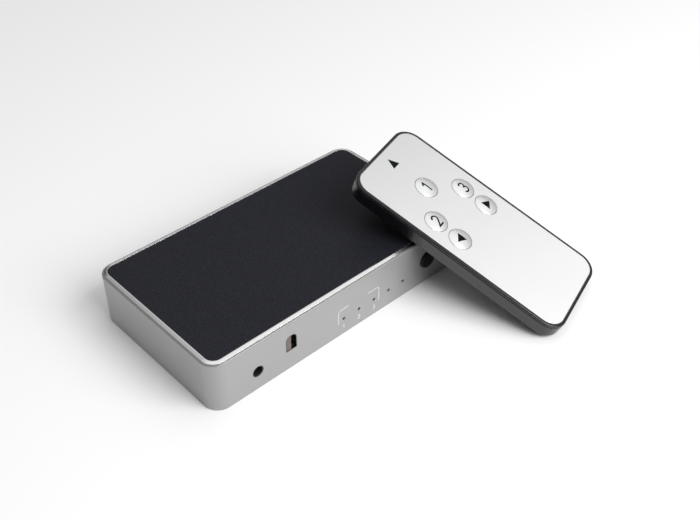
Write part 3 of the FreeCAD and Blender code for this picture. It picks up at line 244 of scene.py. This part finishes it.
def newGroup(name, inputs, outputs):
    group = bpy.data.node_groups.new(name, "ShaderNodeTree")
    for label, kind, value in inputs:
        socket = group.interface.new_socket(label, in_out="INPUT", socket_type=kind)
        socket.default_value = value
    for label, kind in outputs:
        group.interface.new_socket(label, in_out="OUTPUT", socket_type=kind)
    return group, group.nodes.new("NodeGroupInput"), group.nodes.new("NodeGroupOutput")


grainLook = {
    "noise": {"Detail": 2.0, "Roughness": 0.6},
    "middle": 0.5,  # the noise's mean, about which Contrast spreads it
}


def makeFineGrain():
    # a noise, spread by Contrast about its middle, makes a speckle; Stretch draws it out on an axis
    group, given, result = newGroup(
        "fineGrain",
        [("Scale", "NodeSocketFloat", plainFinish["grainScale"]),
         ("Contrast", "NodeSocketFloat", plainFinish["contrast"]),
         ("Stretch", "NodeSocketVector", plainFinish["stretch"])],
        [("Mask", "NodeSocketFloat"), ("Height", "NodeSocketFloat")])
    link = group.links.new
    place = putNode(group, "ShaderNodeTexCoord")
    stretched = putNode(group, "ShaderNodeVectorMath", operation="MULTIPLY")
    link(place.outputs["Object"], stretched.inputs[0])
    link(given.outputs["Stretch"], stretched.inputs[1])
    noise = putNode(group, "ShaderNodeTexNoise", grainLook["noise"])
    link(stretched.outputs[0], noise.inputs["Vector"])
    link(given.outputs["Scale"], noise.inputs["Scale"])
    centred = putNode(group, "ShaderNodeMath", {1: grainLook["middle"]}, operation="SUBTRACT")
    link(noise.outputs[0], centred.inputs[0])
    spread = putNode(group, "ShaderNodeMath", {2: grainLook["middle"]},
                     operation="MULTIPLY_ADD", use_clamp=True)
    link(centred.outputs[0], spread.inputs[0])
    link(given.outputs["Contrast"], spread.inputs[1])
    link(spread.outputs[0], result.inputs["Mask"])
    link(noise.outputs[0], result.inputs["Height"])
    return group


marksLook = {
    "noise": {"Detail": 4.0, "Roughness": 0.55, "Distortion": 0.4},
    "low": 0.3,  # the noise's level where the mask is 0
    "high": 0.7,  # and where it is 1
}


def makeSoftMarks():
    # broad faint patches, as handling leaves
    group, given, result = newGroup(
        "softMarks", [("Scale", "NodeSocketFloat", plainFinish["marksScale"])],
        [("Mask", "NodeSocketFloat")])
    link = group.links.new
    place = putNode(group, "ShaderNodeTexCoord")
    patches = putNode(group, "ShaderNodeTexNoise", marksLook["noise"])
    link(place.outputs["Object"], patches.inputs["Vector"])
    link(given.outputs["Scale"], patches.inputs["Scale"])
    spread = putNode(group, "ShaderNodeMapRange",
                     {"From Min": marksLook["low"], "From Max": marksLook["high"]})
    link(patches.outputs[0], spread.inputs["Value"])
    link(spread.outputs["Result"], result.inputs["Mask"])
    return group


edgeLook = {
    "samples": 6,
    "flat": 0.995,  # cosine between a face and its rounded edge where the mask is 0
    "turned": 0.85,  # and where it is 1
}


def makeSoftEdge():
    # a rounded edge's normal, and a mask that is 1 on the edge, where some finishes paint shade and one paints a
    # highlight
    group, given, result = newGroup(
        "softEdge", [("Radius", "NodeSocketFloat", plainFinish["edge"] * mm)],
        [("Normal", "NodeSocketVector"), ("Edge", "NodeSocketFloat")])
    link = group.links.new
    rounded = putNode(group, "ShaderNodeBevel", samples=edgeLook["samples"])
    link(given.outputs["Radius"], rounded.inputs["Radius"])
    flat = putNode(group, "ShaderNodeNewGeometry")
    likeness = putNode(group, "ShaderNodeVectorMath", operation="DOT_PRODUCT")
    link(rounded.outputs[0], likeness.inputs[0])
    link(flat.outputs["Normal"], likeness.inputs[1])
    edge = putNode(group, "ShaderNodeMapRange",
                   {"From Min": edgeLook["flat"], "From Max": edgeLook["turned"]})
    link(likeness.outputs["Value"], edge.inputs["Value"])
    link(rounded.outputs[0], result.inputs["Normal"])
    link(edge.outputs["Result"], result.inputs["Edge"])
    return group


def makePaintedShadeFade():
    # painted shade: a tint that is full at Start and gone at End, both measured along a direction
    group, given, result = newGroup(
        "fadingPaintedShade",
        [("Along", "NodeSocketVector", (0.0, 0.0, 1.0)), ("Start", "NodeSocketFloat", 0.0),
         ("End", "NodeSocketFloat", 1.0), ("Tint", "NodeSocketColor", white)],
        [("Colour", "NodeSocketColor")])
    link = group.links.new
    place = putNode(group, "ShaderNodeTexCoord")
    reach = putNode(group, "ShaderNodeVectorMath", operation="DOT_PRODUCT")
    link(place.outputs["Object"], reach.inputs[0])
    link(given.outputs["Along"], reach.inputs[1])
    fade = putNode(group, "ShaderNodeMapRange")
    link(reach.outputs["Value"], fade.inputs["Value"])
    link(given.outputs["Start"], fade.inputs["From Min"])
    link(given.outputs["End"], fade.inputs["From Max"])
    mixed = putNode(group, "ShaderNodeMix", {"B": white}, data_type="RGBA")
    link(fade.outputs["Result"], mixed.inputs["Factor"])
    link(given.outputs["Tint"], mixed.inputs["A"])
    link(mixed.outputs["Result"], result.inputs["Colour"])
    return group


fineGrain = makeFineGrain()
softMarks = makeSoftMarks()
softEdge = makeSoftEdge()
fadingPaintedShade = makePaintedShadeFade()


def makeFinish(name, look):
    # the speckle mixes shade and colour, a painted shade darkens them along a direction, and edges take a colour
    # of their own, which is painted shade on some finishes and a painted highlight on one
    look = {**plainFinish, "paintedEdgeLight": look["colour"], **look}
    material = bpy.data.materials.new(name)
    material.use_nodes = True
    tree = material.node_tree
    link = tree.links.new
    shader = tree.nodes["Principled BSDF"]
    grain = putNode(tree, "ShaderNodeGroup",
                    {"Scale": look["grainScale"], "Contrast": look["contrast"],
                     "Stretch": look["stretch"]}, node_tree=fineGrain)
    marks = putNode(tree, "ShaderNodeGroup", {"Scale": look["marksScale"]}, node_tree=softMarks)
    edge = putNode(tree, "ShaderNodeGroup", {"Radius": look["edge"] * mm}, node_tree=softEdge)

    speckled = putNode(tree, "ShaderNodeMix",
                       {"A": (*look["shade"], 1), "B": (*look["colour"], 1)}, data_type="RGBA")
    link(grain.outputs["Mask"], speckled.inputs["Factor"])
    withPaintedShade = speckled
    # painted shade: a tint that fades along a direction darkens the colour
    if "paintedShade" in look:
        paintedShade = look["paintedShade"]
        tint = putNode(tree, "ShaderNodeGroup",
                       {"Along": paintedShade["along"], "Start": paintedShade["full"] * mm,
                        "End": paintedShade["gone"] * mm, "Tint": (*paintedShade["tint"], 1)},
                       node_tree=fadingPaintedShade)
        withPaintedShade = putNode(tree, "ShaderNodeMix", {"Factor": 1.0},
                        data_type="RGBA", blend_type="MULTIPLY")
        link(speckled.outputs["Result"], withPaintedShade.inputs["A"])
        link(tint.outputs["Colour"], withPaintedShade.inputs["B"])
    # painted light on edges: the edge mask mixes in the finish's edge colour, painted shade on the case and keys
    # and a painted highlight on the remote's rim
    paintedEdge = putNode(tree, "ShaderNodeMix", {"B": (*look["paintedEdgeLight"], 1)}, data_type="RGBA")
    link(withPaintedShade.outputs["Result"], paintedEdge.inputs["A"])
    link(edge.outputs["Edge"], paintedEdge.inputs["Factor"])
    link(paintedEdge.outputs["Result"], shader.inputs["Base Color"])

    low, high = look["rough"]
    rough = putNode(tree, "ShaderNodeMapRange", {"To Min": low, "To Max": high})
    link(marks.outputs["Mask"], rough.inputs["Value"])
    link(rough.outputs["Result"], shader.inputs["Roughness"])

    bump = putNode(tree, "ShaderNodeBump",
                   {"Strength": look["bump"], "Distance": look["bumpDepth"] * mm})
    link(grain.outputs["Height"], bump.inputs["Height"])
    link(edge.outputs["Normal"], bump.inputs["Normal"])
    link(bump.outputs["Normal"], shader.inputs["Normal"])

    for socket, value in look["shader"].items():
        shader.inputs[socket].default_value = value
    return material


# The remote's own directions: along it to its low end, out of its face, and across it
jointAxis = {joint["name"]: np.array(joint["axis"]) for joint in frame["joints"]}
alongRemote = jointAxis["tray_slide"] / np.linalg.norm(jointAxis["tray_slide"])
outOfRemote = -jointAxis["key_1_press"] / np.linalg.norm(jointAxis["key_1_press"])
acrossRemote = np.cross(outOfRemote, alongRemote)
remoteAxes = np.stack([alongRemote, acrossRemote, outOfRemote])


def remoteSpan(name):
    # a node's lowest and highest reach along the remote's own directions
    mesh = nodes[name].data
    points = np.zeros(len(mesh.vertices) * 3)
    mesh.vertices.foreach_get("co", points)
    local = points.reshape(-1, 3) @ remoteAxes.T / mm
    return local.min(0), local.max(0)


# Painted shade: the case's rounded top edge is painted darker than its walls, full just below the top, gone a
# little lower
caseTop = nodeBox("case_shell")[1][2]
edgePaintedShade = {
    "along": (0.0, 0.0, 1.0),
    "full": caseTop - 0.1,
    "gone": caseTop - 0.4,
    "tint": (0.68, 0.68, 0.68),
}

# Painted shade: the remote's film is painted greyer towards the end with the arrow
filmLow, filmHigh = remoteSpan("remote_overlay")
filmPaintedShade = {
    "along": alongRemote,
    "full": filmLow[0],
    "gone": filmHigh[0],
    "tint": (0.73, 0.735, 0.73),
}

finishes = {
    # the case's darker edge colour and its top-edge tint are painted shade
    "case_silver": {
        "colour": (0.40, 0.403, 0.40), "shade": (0.34, 0.342, 0.34), "rough": (0.35, 0.41),
        "grainScale": 5200.0, "bump": 0.10, "edge": 0.04, "paintedEdgeLight": (0.28, 0.28, 0.28),
        "paintedShade": edgePaintedShade, "shader": {"Metallic": 0.5}},
    "bright_edge": {
        "colour": (0.86, 0.865, 0.86), "shade": (0.80, 0.805, 0.80), "rough": (0.18, 0.24),
        "grainScale": 2500.0, "bump": 0.02, "edge": 0.05, "shader": {"Metallic": 1.0}},
    "panel_black": {
        "colour": (0.020, 0.021, 0.028), "shade": (0.005, 0.005, 0.008), "rough": (0.44, 0.50),
        "grainScale": 2600.0, "contrast": 2.8, "bump": 0.25, "edge": 0.06,
        "shader": {"Specular IOR Level": 0.17}},
    "adhesive": {
        "colour": (0.74, 0.74, 0.70), "shade": (0.66, 0.66, 0.62), "rough": (0.75, 0.85),
        "edge": 0.03},
    "plate_grey": {
        "colour": (0.23, 0.235, 0.24), "shade": (0.16, 0.165, 0.17), "rough": (0.50, 0.62),
        "grainScale": 4200.0, "contrast": 2.2, "bump": 0.35, "edge": 0.12},
    "screw_steel": {
        "colour": (0.62, 0.62, 0.64), "shade": (0.50, 0.50, 0.52), "rough": (0.22, 0.34),
        "grainScale": 4500.0, "edge": 0.06, "shader": {"Metallic": 1.0}},
    "board_green": {
        "colour": (0.025, 0.15, 0.075), "shade": (0.012, 0.085, 0.045), "rough": (0.28, 0.42),
        "grainScale": 900.0, "contrast": 5.0, "bump": 0.3, "edge": 0.05},
    "socket_black": {
        "colour": (0.020, 0.020, 0.021), "shade": (0.014, 0.014, 0.015), "rough": (0.38, 0.50),
        "grainScale": 3500.0, "bump": 0.12, "edge": 0.06},
    "tin": {
        "colour": (0.68, 0.68, 0.66), "shade": (0.55, 0.55, 0.53), "rough": (0.28, 0.42),
        "grainScale": 3000.0, "edge": 0.04, "shader": {"Metallic": 1.0}},
    "receiver_dark": {
        "colour": (0.012, 0.011, 0.012), "shade": (0.008, 0.007, 0.008), "rough": (0.25, 0.35),
        "grainScale": 2000.0, "bump": 0.02, "edge": 0.05},
    "shade_brown": {
        "colour": (0.155, 0.121, 0.114), "shade": (0.125, 0.096, 0.090), "rough": (0.5, 0.6),
        "grainScale": 2600.0, "bump": 0.1, "edge": 0.05},
    "guide_smoke": {
        "colour": (0.010, 0.010, 0.011), "shade": (0.006, 0.006, 0.007), "rough": (0.25, 0.35),
        "edge": 0.05, "shader": {"Specular IOR Level": 0.2}},
    "lamp_white": {
        "colour": (0.86, 0.86, 0.72), "shade": (0.80, 0.79, 0.60), "rough": (0.3, 0.4),
        "edge": 0.05},
    "button_black": {
        "colour": (0.006, 0.006, 0.007), "shade": (0.003, 0.003, 0.004), "rough": (0.30, 0.40),
        "grainScale": 3600.0, "bump": 0.15, "edge": 0.12,
        "shader": {"Specular IOR Level": 0.2}},
    "socket_steel": {
        "colour": (0.70, 0.70, 0.70), "shade": (0.60, 0.60, 0.60), "rough": (0.20, 0.32),
        "grainScale": 2200.0, "stretch": (0.15, 1.0, 1.0), "edge": 0.06,
        "shader": {"Metallic": 1.0}},
    "gold": {
        "colour": (0.90, 0.68, 0.32), "shade": (0.80, 0.56, 0.24), "rough": (0.18, 0.28),
        "edge": 0.02, "shader": {"Metallic": 1.0}},
    "chip_black": {
        "colour": (0.045, 0.045, 0.048), "shade": (0.032, 0.032, 0.034), "rough": (0.55, 0.68),
        "grainScale": 4000.0, "bump": 0.3, "edge": 0.06},
    "ceramic_tan": {
        "colour": (0.50, 0.38, 0.26), "shade": (0.40, 0.29, 0.19), "rough": (0.40, 0.5),
        "edge": 0.05},
    "remote_dark": {
        "colour": (0.005, 0.005, 0.006), "shade": (0.003, 0.003, 0.004), "rough": (0.14, 0.20),
        "grainScale": 3800.0, "bump": 0.05, "edge": 0.10,
        "shader": {"Specular IOR Level": 0.9}},
    # the rim's lighter edge colour is a painted highlight
    "remote_rim": {
        "colour": (0.008, 0.008, 0.010), "shade": (0.005, 0.005, 0.007), "rough": (0.16, 0.22),
        "grainScale": 3800.0, "bump": 0.05, "edge": 0.45, "paintedEdgeLight": (0.15, 0.15, 0.16),
        "shader": {"Specular IOR Level": 0.5}},
    # the film's tint towards the arrow end is painted shade
    "overlay_silver": {
        "colour": (0.925, 0.93, 0.925), "shade": (0.865, 0.87, 0.865), "rough": (0.30, 0.36),
        "grainScale": 9000.0, "contrast": 1.2, "bump": 0.06, "edge": 0.04,
        "paintedShade": filmPaintedShade, "shader": {"Metallic": 0.5}},
    # the keys' dark edge colour is painted shade round each key
    "key_white": {
        "colour": (0.82, 0.825, 0.825), "shade": (0.76, 0.765, 0.765), "rough": (0.18, 0.24),
        "grainScale": 9000.0, "contrast": 1.0, "bump": 0.03, "edge": 0.28,
        "paintedEdgeLight": (0.12, 0.13, 0.14), "shader": {"Metallic": 0.6}},
    "emitter_blue": {
        "colour": (0.25, 0.27, 0.36), "shade": (0.2, 0.22, 0.3), "rough": (0.1, 0.15),
        "edge": 0.05},
    "window_dark": {
        "colour": (0.020, 0.014, 0.018), "shade": (0.016, 0.010, 0.014), "rough": (0.06, 0.12),
        "grainScale": 1500.0, "bump": 0.01, "edge": 0.08},
    "cell_steel": {
        "colour": (0.72, 0.72, 0.72), "shade": (0.64, 0.64, 0.64), "rough": (0.2, 0.3),
        "grainScale": 1600.0, "stretch": (1.0, 0.1, 1.0), "edge": 0.12,
        "shader": {"Metallic": 1.0}},
    "print_white": {
        "colour": (0.74, 0.75, 0.75), "shade": (0.66, 0.67, 0.67), "rough": (0.45, 0.6),
        "grainScale": 5000.0, "edge": 0.02},
    "print_navy": {
        "colour": (0.004, 0.005, 0.008), "shade": (0.002, 0.003, 0.005), "rough": (0.4, 0.5),
        "grainScale": 5000.0, "edge": 0.02, "shader": {"Specular IOR Level": 0.08}},
}

materials = {name: makeFinish(name, look) for name, look in finishes.items()}
slotOf = {part["node"]: part["material_slot"] for part in frame["record"]["subparts"]}
for name, node in nodes.items():
    for materialSlot in node.material_slots:
        materialSlot.material = materials[slotOf[name]]
print("materials on", len(nodes), "nodes")


# Printed marks: a stroke is a flat ribbon with a little thickness, carried along a path

inkLook = {
    "rise": 0.02,  # above the surface
    "sink": 0.03,  # and below it
    "spacing": 0.6,  # between the points of a straight run, at most
    "sharpest": 0.5,  # cosine of half a turn past which its corner isn't lengthened more
    "rings": 6,  # of a filled mark, from its middle to its outline
}


def arcPath(x, y, radius, start, end, steps):
    # points on a circle about (x, y), evenly from one angle to the other, in degrees
    turn = np.radians(np.linspace(start, end, steps))
    return np.stack([x + radius * np.cos(turn), y + radius * np.sin(turn)], -1)


def linePath(*points, spacing=inkLook["spacing"]):
    # straight runs from point to point, each cut into even steps about as long as the spacing
    runs = []
    for first, last in zip(points[:-1], points[1:]):
        first, last = np.array(first, float), np.array(last, float)
        count = max(1, int(np.linalg.norm(last - first) / spacing))
        share = np.arange(count)[:, None] / count
        runs.append(first + share * (last - first))
    return np.vstack(runs + [np.array([points[-1]], float)])


def strokeShell(path, width, place, rise=inkLook["rise"], sink=inkLook["sink"]):
    # each path point moves sideways along the mean normal of its two runs, longer where they turn
    steps = np.diff(path, axis=0)
    steps /= np.linalg.norm(steps, axis=1)[:, None]
    before = np.vstack([steps[:1], steps])
    after = np.vstack([steps, steps[-1:]])
    mean = before + after
    mean /= np.linalg.norm(mean, axis=1)[:, None]
    side = np.stack([-mean[:, 1], mean[:, 0]], -1)
    side /= np.clip((mean * before).sum(1), inkLook["sharpest"], 1)[:, None]
    left, right = path + side * width / 2, path - side * width / 2
    grid = np.stack([place(left, -sink), place(left, rise),
                     place(right, rise), place(right, -sink)], 1)
    return grid, True, True


def filledShell(outline, place):
    # rings of the outline grow from its middle on top and shrink back to it underneath
    middle = outline.mean(0)
    share = np.linspace(0, 1, inkLook["rings"])[:, None, None]
    layers = middle + share * (outline - middle)
    top = [place(layer, inkLook["rise"]) for layer in layers]
    low = [place(layer, -inkLook["sink"]) for layer in layers[::-1]]
    return np.array(top + low), True, False


digitShapes = {  # in shares of a digit's height, from its middle
    "oneFlag": (-0.24, 0.26),  # low end of the flag
    "oneStem": 0.03,
    "twoBow": (0.0, 0.225, 0.275, 165, -42, 16),  # middle, radius, two angles, points
    "twoFoot": (-0.28, 0.31),  # left and right end
    "threeUpper": (0.0, 0.26, 0.24, 155, -100, 16),
    "threeLower": (0.0, -0.23, 0.27, 100, -155, 18),
    "spacing": 0.15,
}


def digitPaths(digit, height):
    # 1 is a flag and a stem, 2 an arc that runs into a foot, and 3 two arcs
    look = digitShapes
    if digit == 1:
        stem = look["oneStem"]
        paths = [linePath(look["oneFlag"], (stem, 0.5), (stem, -0.5), spacing=look["spacing"])]
    elif digit == 2:
        bow = arcPath(*look["twoBow"])
        left, right = look["twoFoot"]
        foot = linePath(tuple(bow[-1]), (left, -0.5), (right, -0.5), spacing=look["spacing"])
        paths = [np.vstack([bow[:-1], foot])]
    else:
        paths = [arcPath(*look["threeUpper"]), arcPath(*look["threeLower"])]
    return [path * height for path in paths]


# Print on the case

frontPrint = {
    "lampFirst": -2.0,
    "lampPitch": 7.0,
    "digitHeight": 1.55,
    "digitLevel": 3.3,
    "digitStroke": 0.26,
    "lineStroke": 0.26,
    "lineLevel": 11.2,
    "legLow": 5.2,
    "legLeft": -4.4,
    "legRight": 14.3,
    "corner": 1.2,
    "cornerPoints": 8,
    "gapLeft": 0.24,
    "gapRight": 9.1,
}
frontFace = nodeBox("case_shell")[0][1]
rearFace = nodeBox("case_shell")[1][1]


def onFront(points, height):
    # print coordinates are (right, up), seen from the front
    return np.stack([points[:, 0], np.full(len(points), frontFace - height), points[:, 1]], -1) * mm


def onRear(points, height):
    # print coordinates are (right, up), seen from behind
    return np.stack([-points[:, 0], np.full(len(points), rearFace + height), points[:, 1]], -1) * mm


def printFront():
    look = frontPrint
    for number in (1, 2, 3):
        across = look["lampFirst"] + (number - 1) * look["lampPitch"]
        middle = np.array([across, look["digitLevel"]])
        shells = [strokeShell(path + middle, look["digitStroke"], onFront)
                  for path in digitPaths(number, look["digitHeight"])]
        addPiece(f"front_digit_{number}", shells, "switch", "print_white")

    top, low, corner = look["lineLevel"], look["legLow"], look["corner"]
    legLeft, legRight = look["legLeft"], look["legRight"]
    left = np.vstack([
        linePath((legLeft, low), (legLeft, top - corner))[:-1],
        arcPath(legLeft + corner, top - corner, corner, 180, 90, look["cornerPoints"])[:-1],
        linePath((legLeft + corner, top), (look["gapLeft"], top))])
    right = np.vstack([
        linePath((look["gapRight"], top), (legRight - corner, top))[:-1],
        arcPath(legRight - corner, top - corner, corner, 90, 0, look["cornerPoints"])[:-1],
        linePath((legRight, top - corner), (legRight, low))])
    for side, path in (("left", left), ("right", right)):
        addPiece(f"front_bracket_{side}", [strokeShell(path, look["lineStroke"], onFront)],
                 "switch", "print_white")


rearPrint = {
    "level": 12.1,
    "digitHeight": 2.0,
    "digitStroke": 0.3,
}


def printRear():
    look = rearPrint
    for number in (1, 2, 3):
        low, high = nodeBox(f"video_in_{number}_shell")
        middle = np.array([-(low[0] + high[0]) / 2, look["level"]])
        shells = [strokeShell(path + middle, look["digitStroke"], onRear)
                  for path in digitPaths(number, look["digitHeight"])]
        addPiece(f"rear_digit_{number}", shells, "switch", "print_white")


# Painted shade in the receiver window: a thin dark rim, and a dark sleeve in its open right half, stand in for the
# shadow in the opening

windowPaintedShade = {
    "middle": -24.85,
    "low": 7.7,
    "width": 4.5,
    "height": 6.3,
    "corner": 1.9,
    "cornerPoints": 9,
    "clear": 0.01,  # from the opening's edge, and from rim to sleeve
    "rimWidth": 0.2,
    "rimSink": 0.02,
    "rimDepth": 0.13,
    "sleeveWidth": 0.08,
    "sleeveDepth": 1.4,
}


def archPath(look, inset):
    # up the right side from the foot's middle, over the top and down the left side
    left = look["middle"] - look["width"] / 2 + inset
    right = look["middle"] + look["width"] / 2 - inset
    low, top = look["low"] + inset, look["low"] + look["height"] - inset
    turn = look["corner"] - inset
    up = linePath((look["middle"], low), (right, low), (right, top - turn))
    bend = arcPath(right - turn, top - turn, turn, 0, 90, look["cornerPoints"])
    over = linePath((right - turn, top), (look["middle"], top))
    half = np.vstack([up[:-1], bend[:-1], over])
    mirrored = half[::-1] * (-1, 1) + (left + right, 0)
    return half, np.vstack([half[:-1], mirrored])


def paintShadeInWindow():
    look = windowPaintedShade
    loop = archPath(look, look["rimWidth"] / 2 + look["clear"])[1]
    rim = strokeShell(loop, look["rimWidth"], onFront, -look["rimSink"], look["rimDepth"])
    half = archPath(look, look["sleeveWidth"] / 2 + look["clear"])[0]
    sleeve = strokeShell(half, look["sleeveWidth"], onFront, -look["rimDepth"] - look["clear"],
                         look["sleeveDepth"])
    # dark pieces put in as painted shade in the window's opening
    addPiece("window_painted_shade_rim", [rim], "switch", "receiver_dark")
    addPiece("window_painted_shade_sleeve", [sleeve], "switch", "receiver_dark")


# Spring tabs pressed inwards from the video sockets' shells

socketSprings = {
    "start": 1.2,
    "length": 4.6,
    "width": 2.0,
    "taper": 0.25,  # share of the width that is lost along the tab
    "bulge": 0.45,
    "bulgePower": 1.5,
    "thickness": 0.18,
    "clear": 0.01,
    "points": 15,
    "topPlaces": (-3.6, 3.6),
    "lowPlaces": (-2.9, 2.9),
    "shellSheet": 0.35,
}


def springShell(x, wall, mouth, inward, look):
    # a strip along the socket that bows towards the plug as a power of half a sine, and tapers
    along = np.linspace(0, 1, look["points"])
    bow = look["bulge"] * np.sin(np.pi * along) ** look["bulgePower"]
    y = mouth - look["start"] - along * look["length"]
    near = wall + inward * (bow + look["clear"])
    far = wall + inward * (bow + look["thickness"])
    half = look["width"] / 2 * (1 - look["taper"] * along)
    corners = [np.stack([x + side * half, y, level], -1) for side, level in
               ((-1, near), (-1, far), (1, far), (1, near))]
    return np.stack(corners, 1) * mm, True, True


def fitSocketSprings():
    look = socketSprings
    sheet = look["shellSheet"]
    for name in ("video_in_1", "video_in_2", "video_in_3", "video_out"):
        low, high = nodeBox(name + "_shell")
        middle, mouth = (low[0] + high[0]) / 2, high[1]
        shells = [springShell(middle + x, high[2] - sheet, mouth, -1, look)
                  for x in look["topPlaces"]]
        shells += [springShell(middle + x, low[2] + sheet, mouth, 1, look)
                   for x in look["lowPlaces"]]
        addPiece(name + "_springs", shells, "switch", "socket_steel", smooth=True)


# Print on the remote

remotePrint = {
    "domeRise": 0.65,  # of a key's face
    "keyRadius": 4.3,
    "digitHeight": 4.2,
    "digitStroke": 0.62,
    "triangleReach": 2.3,
    "triangleHalf": 1.95,
    "arrowApex": 38.9,  # back along the remote from the film's middle
    "arrowBase": 34.9,
    "arrowHalf": 2.0,
    "spacing": 0.5,
}


def facePlace(name, domed):
    # print coordinates are (reading direction, up), which are across the remote and back along it;
    # a domed face falls away from its middle as a ball does
    low, high = remoteSpan(name)
    middle = (low + high) / 2
    rise = remotePrint["domeRise"]
    radius = (remotePrint["keyRadius"] ** 2 + rise ** 2) / (2 * rise)

    def place(points, height):
        across, back = points[:, 0], points[:, 1]
        fall = radius - np.sqrt(radius ** 2 - across ** 2 - back ** 2) if domed else 0.0
        level = np.full(len(points), high[2]) - fall + height
        return np.stack([middle[0] - back, middle[1] + across, level], -1) @ remoteAxes * mm
    return place


def triangleOutline(tip, half, base):
    # the tip is on the first axis, and the base stands across it
    corners = [(tip, 0.0), (base, half), (base, -half), (tip, 0.0)]
    return linePath(*corners, spacing=remotePrint["spacing"])[:-1]


def printRemote():
    look = remotePrint
    for number in (1, 2, 3):
        node = f"remote_key_{number}"
        place = facePlace(node, True)
        shells = [strokeShell(path, look["digitStroke"], place)
                  for path in digitPaths(number, look["digitHeight"])]
        addPiece(f"key_print_{number}", shells, node, "print_navy")
    for name, way in (("next", 1), ("back", -1)):
        node = f"remote_key_{name}"
        reach = look["triangleReach"] * way
        triangle = filledShell(triangleOutline(reach, look["triangleHalf"], -reach / 2),
                               facePlace(node, True))
        addPiece(f"key_print_{name}", [triangle], node, "print_navy")
    outline = triangleOutline(look["arrowApex"], look["arrowHalf"], look["arrowBase"])[:, ::-1]
    arrow = filledShell(outline, facePlace("remote_overlay", False))
    addPiece("remote_arrow", [arrow], "remote", "print_navy")


makeCamera(cameraLook)
addKeyLamp(keyLamp)
makeWorld(skyLook)
makeFloor(floorPaper)
print("camera, lights and floor set")
printFront()
printRear()
print("print on the case added")
paintShadeInWindow()
fitSocketSprings()
print("window trim and socket springs added")
printRemote()
print("print on the remote added")

bpy.context.scene.view_settings.view_transform = "Standard"
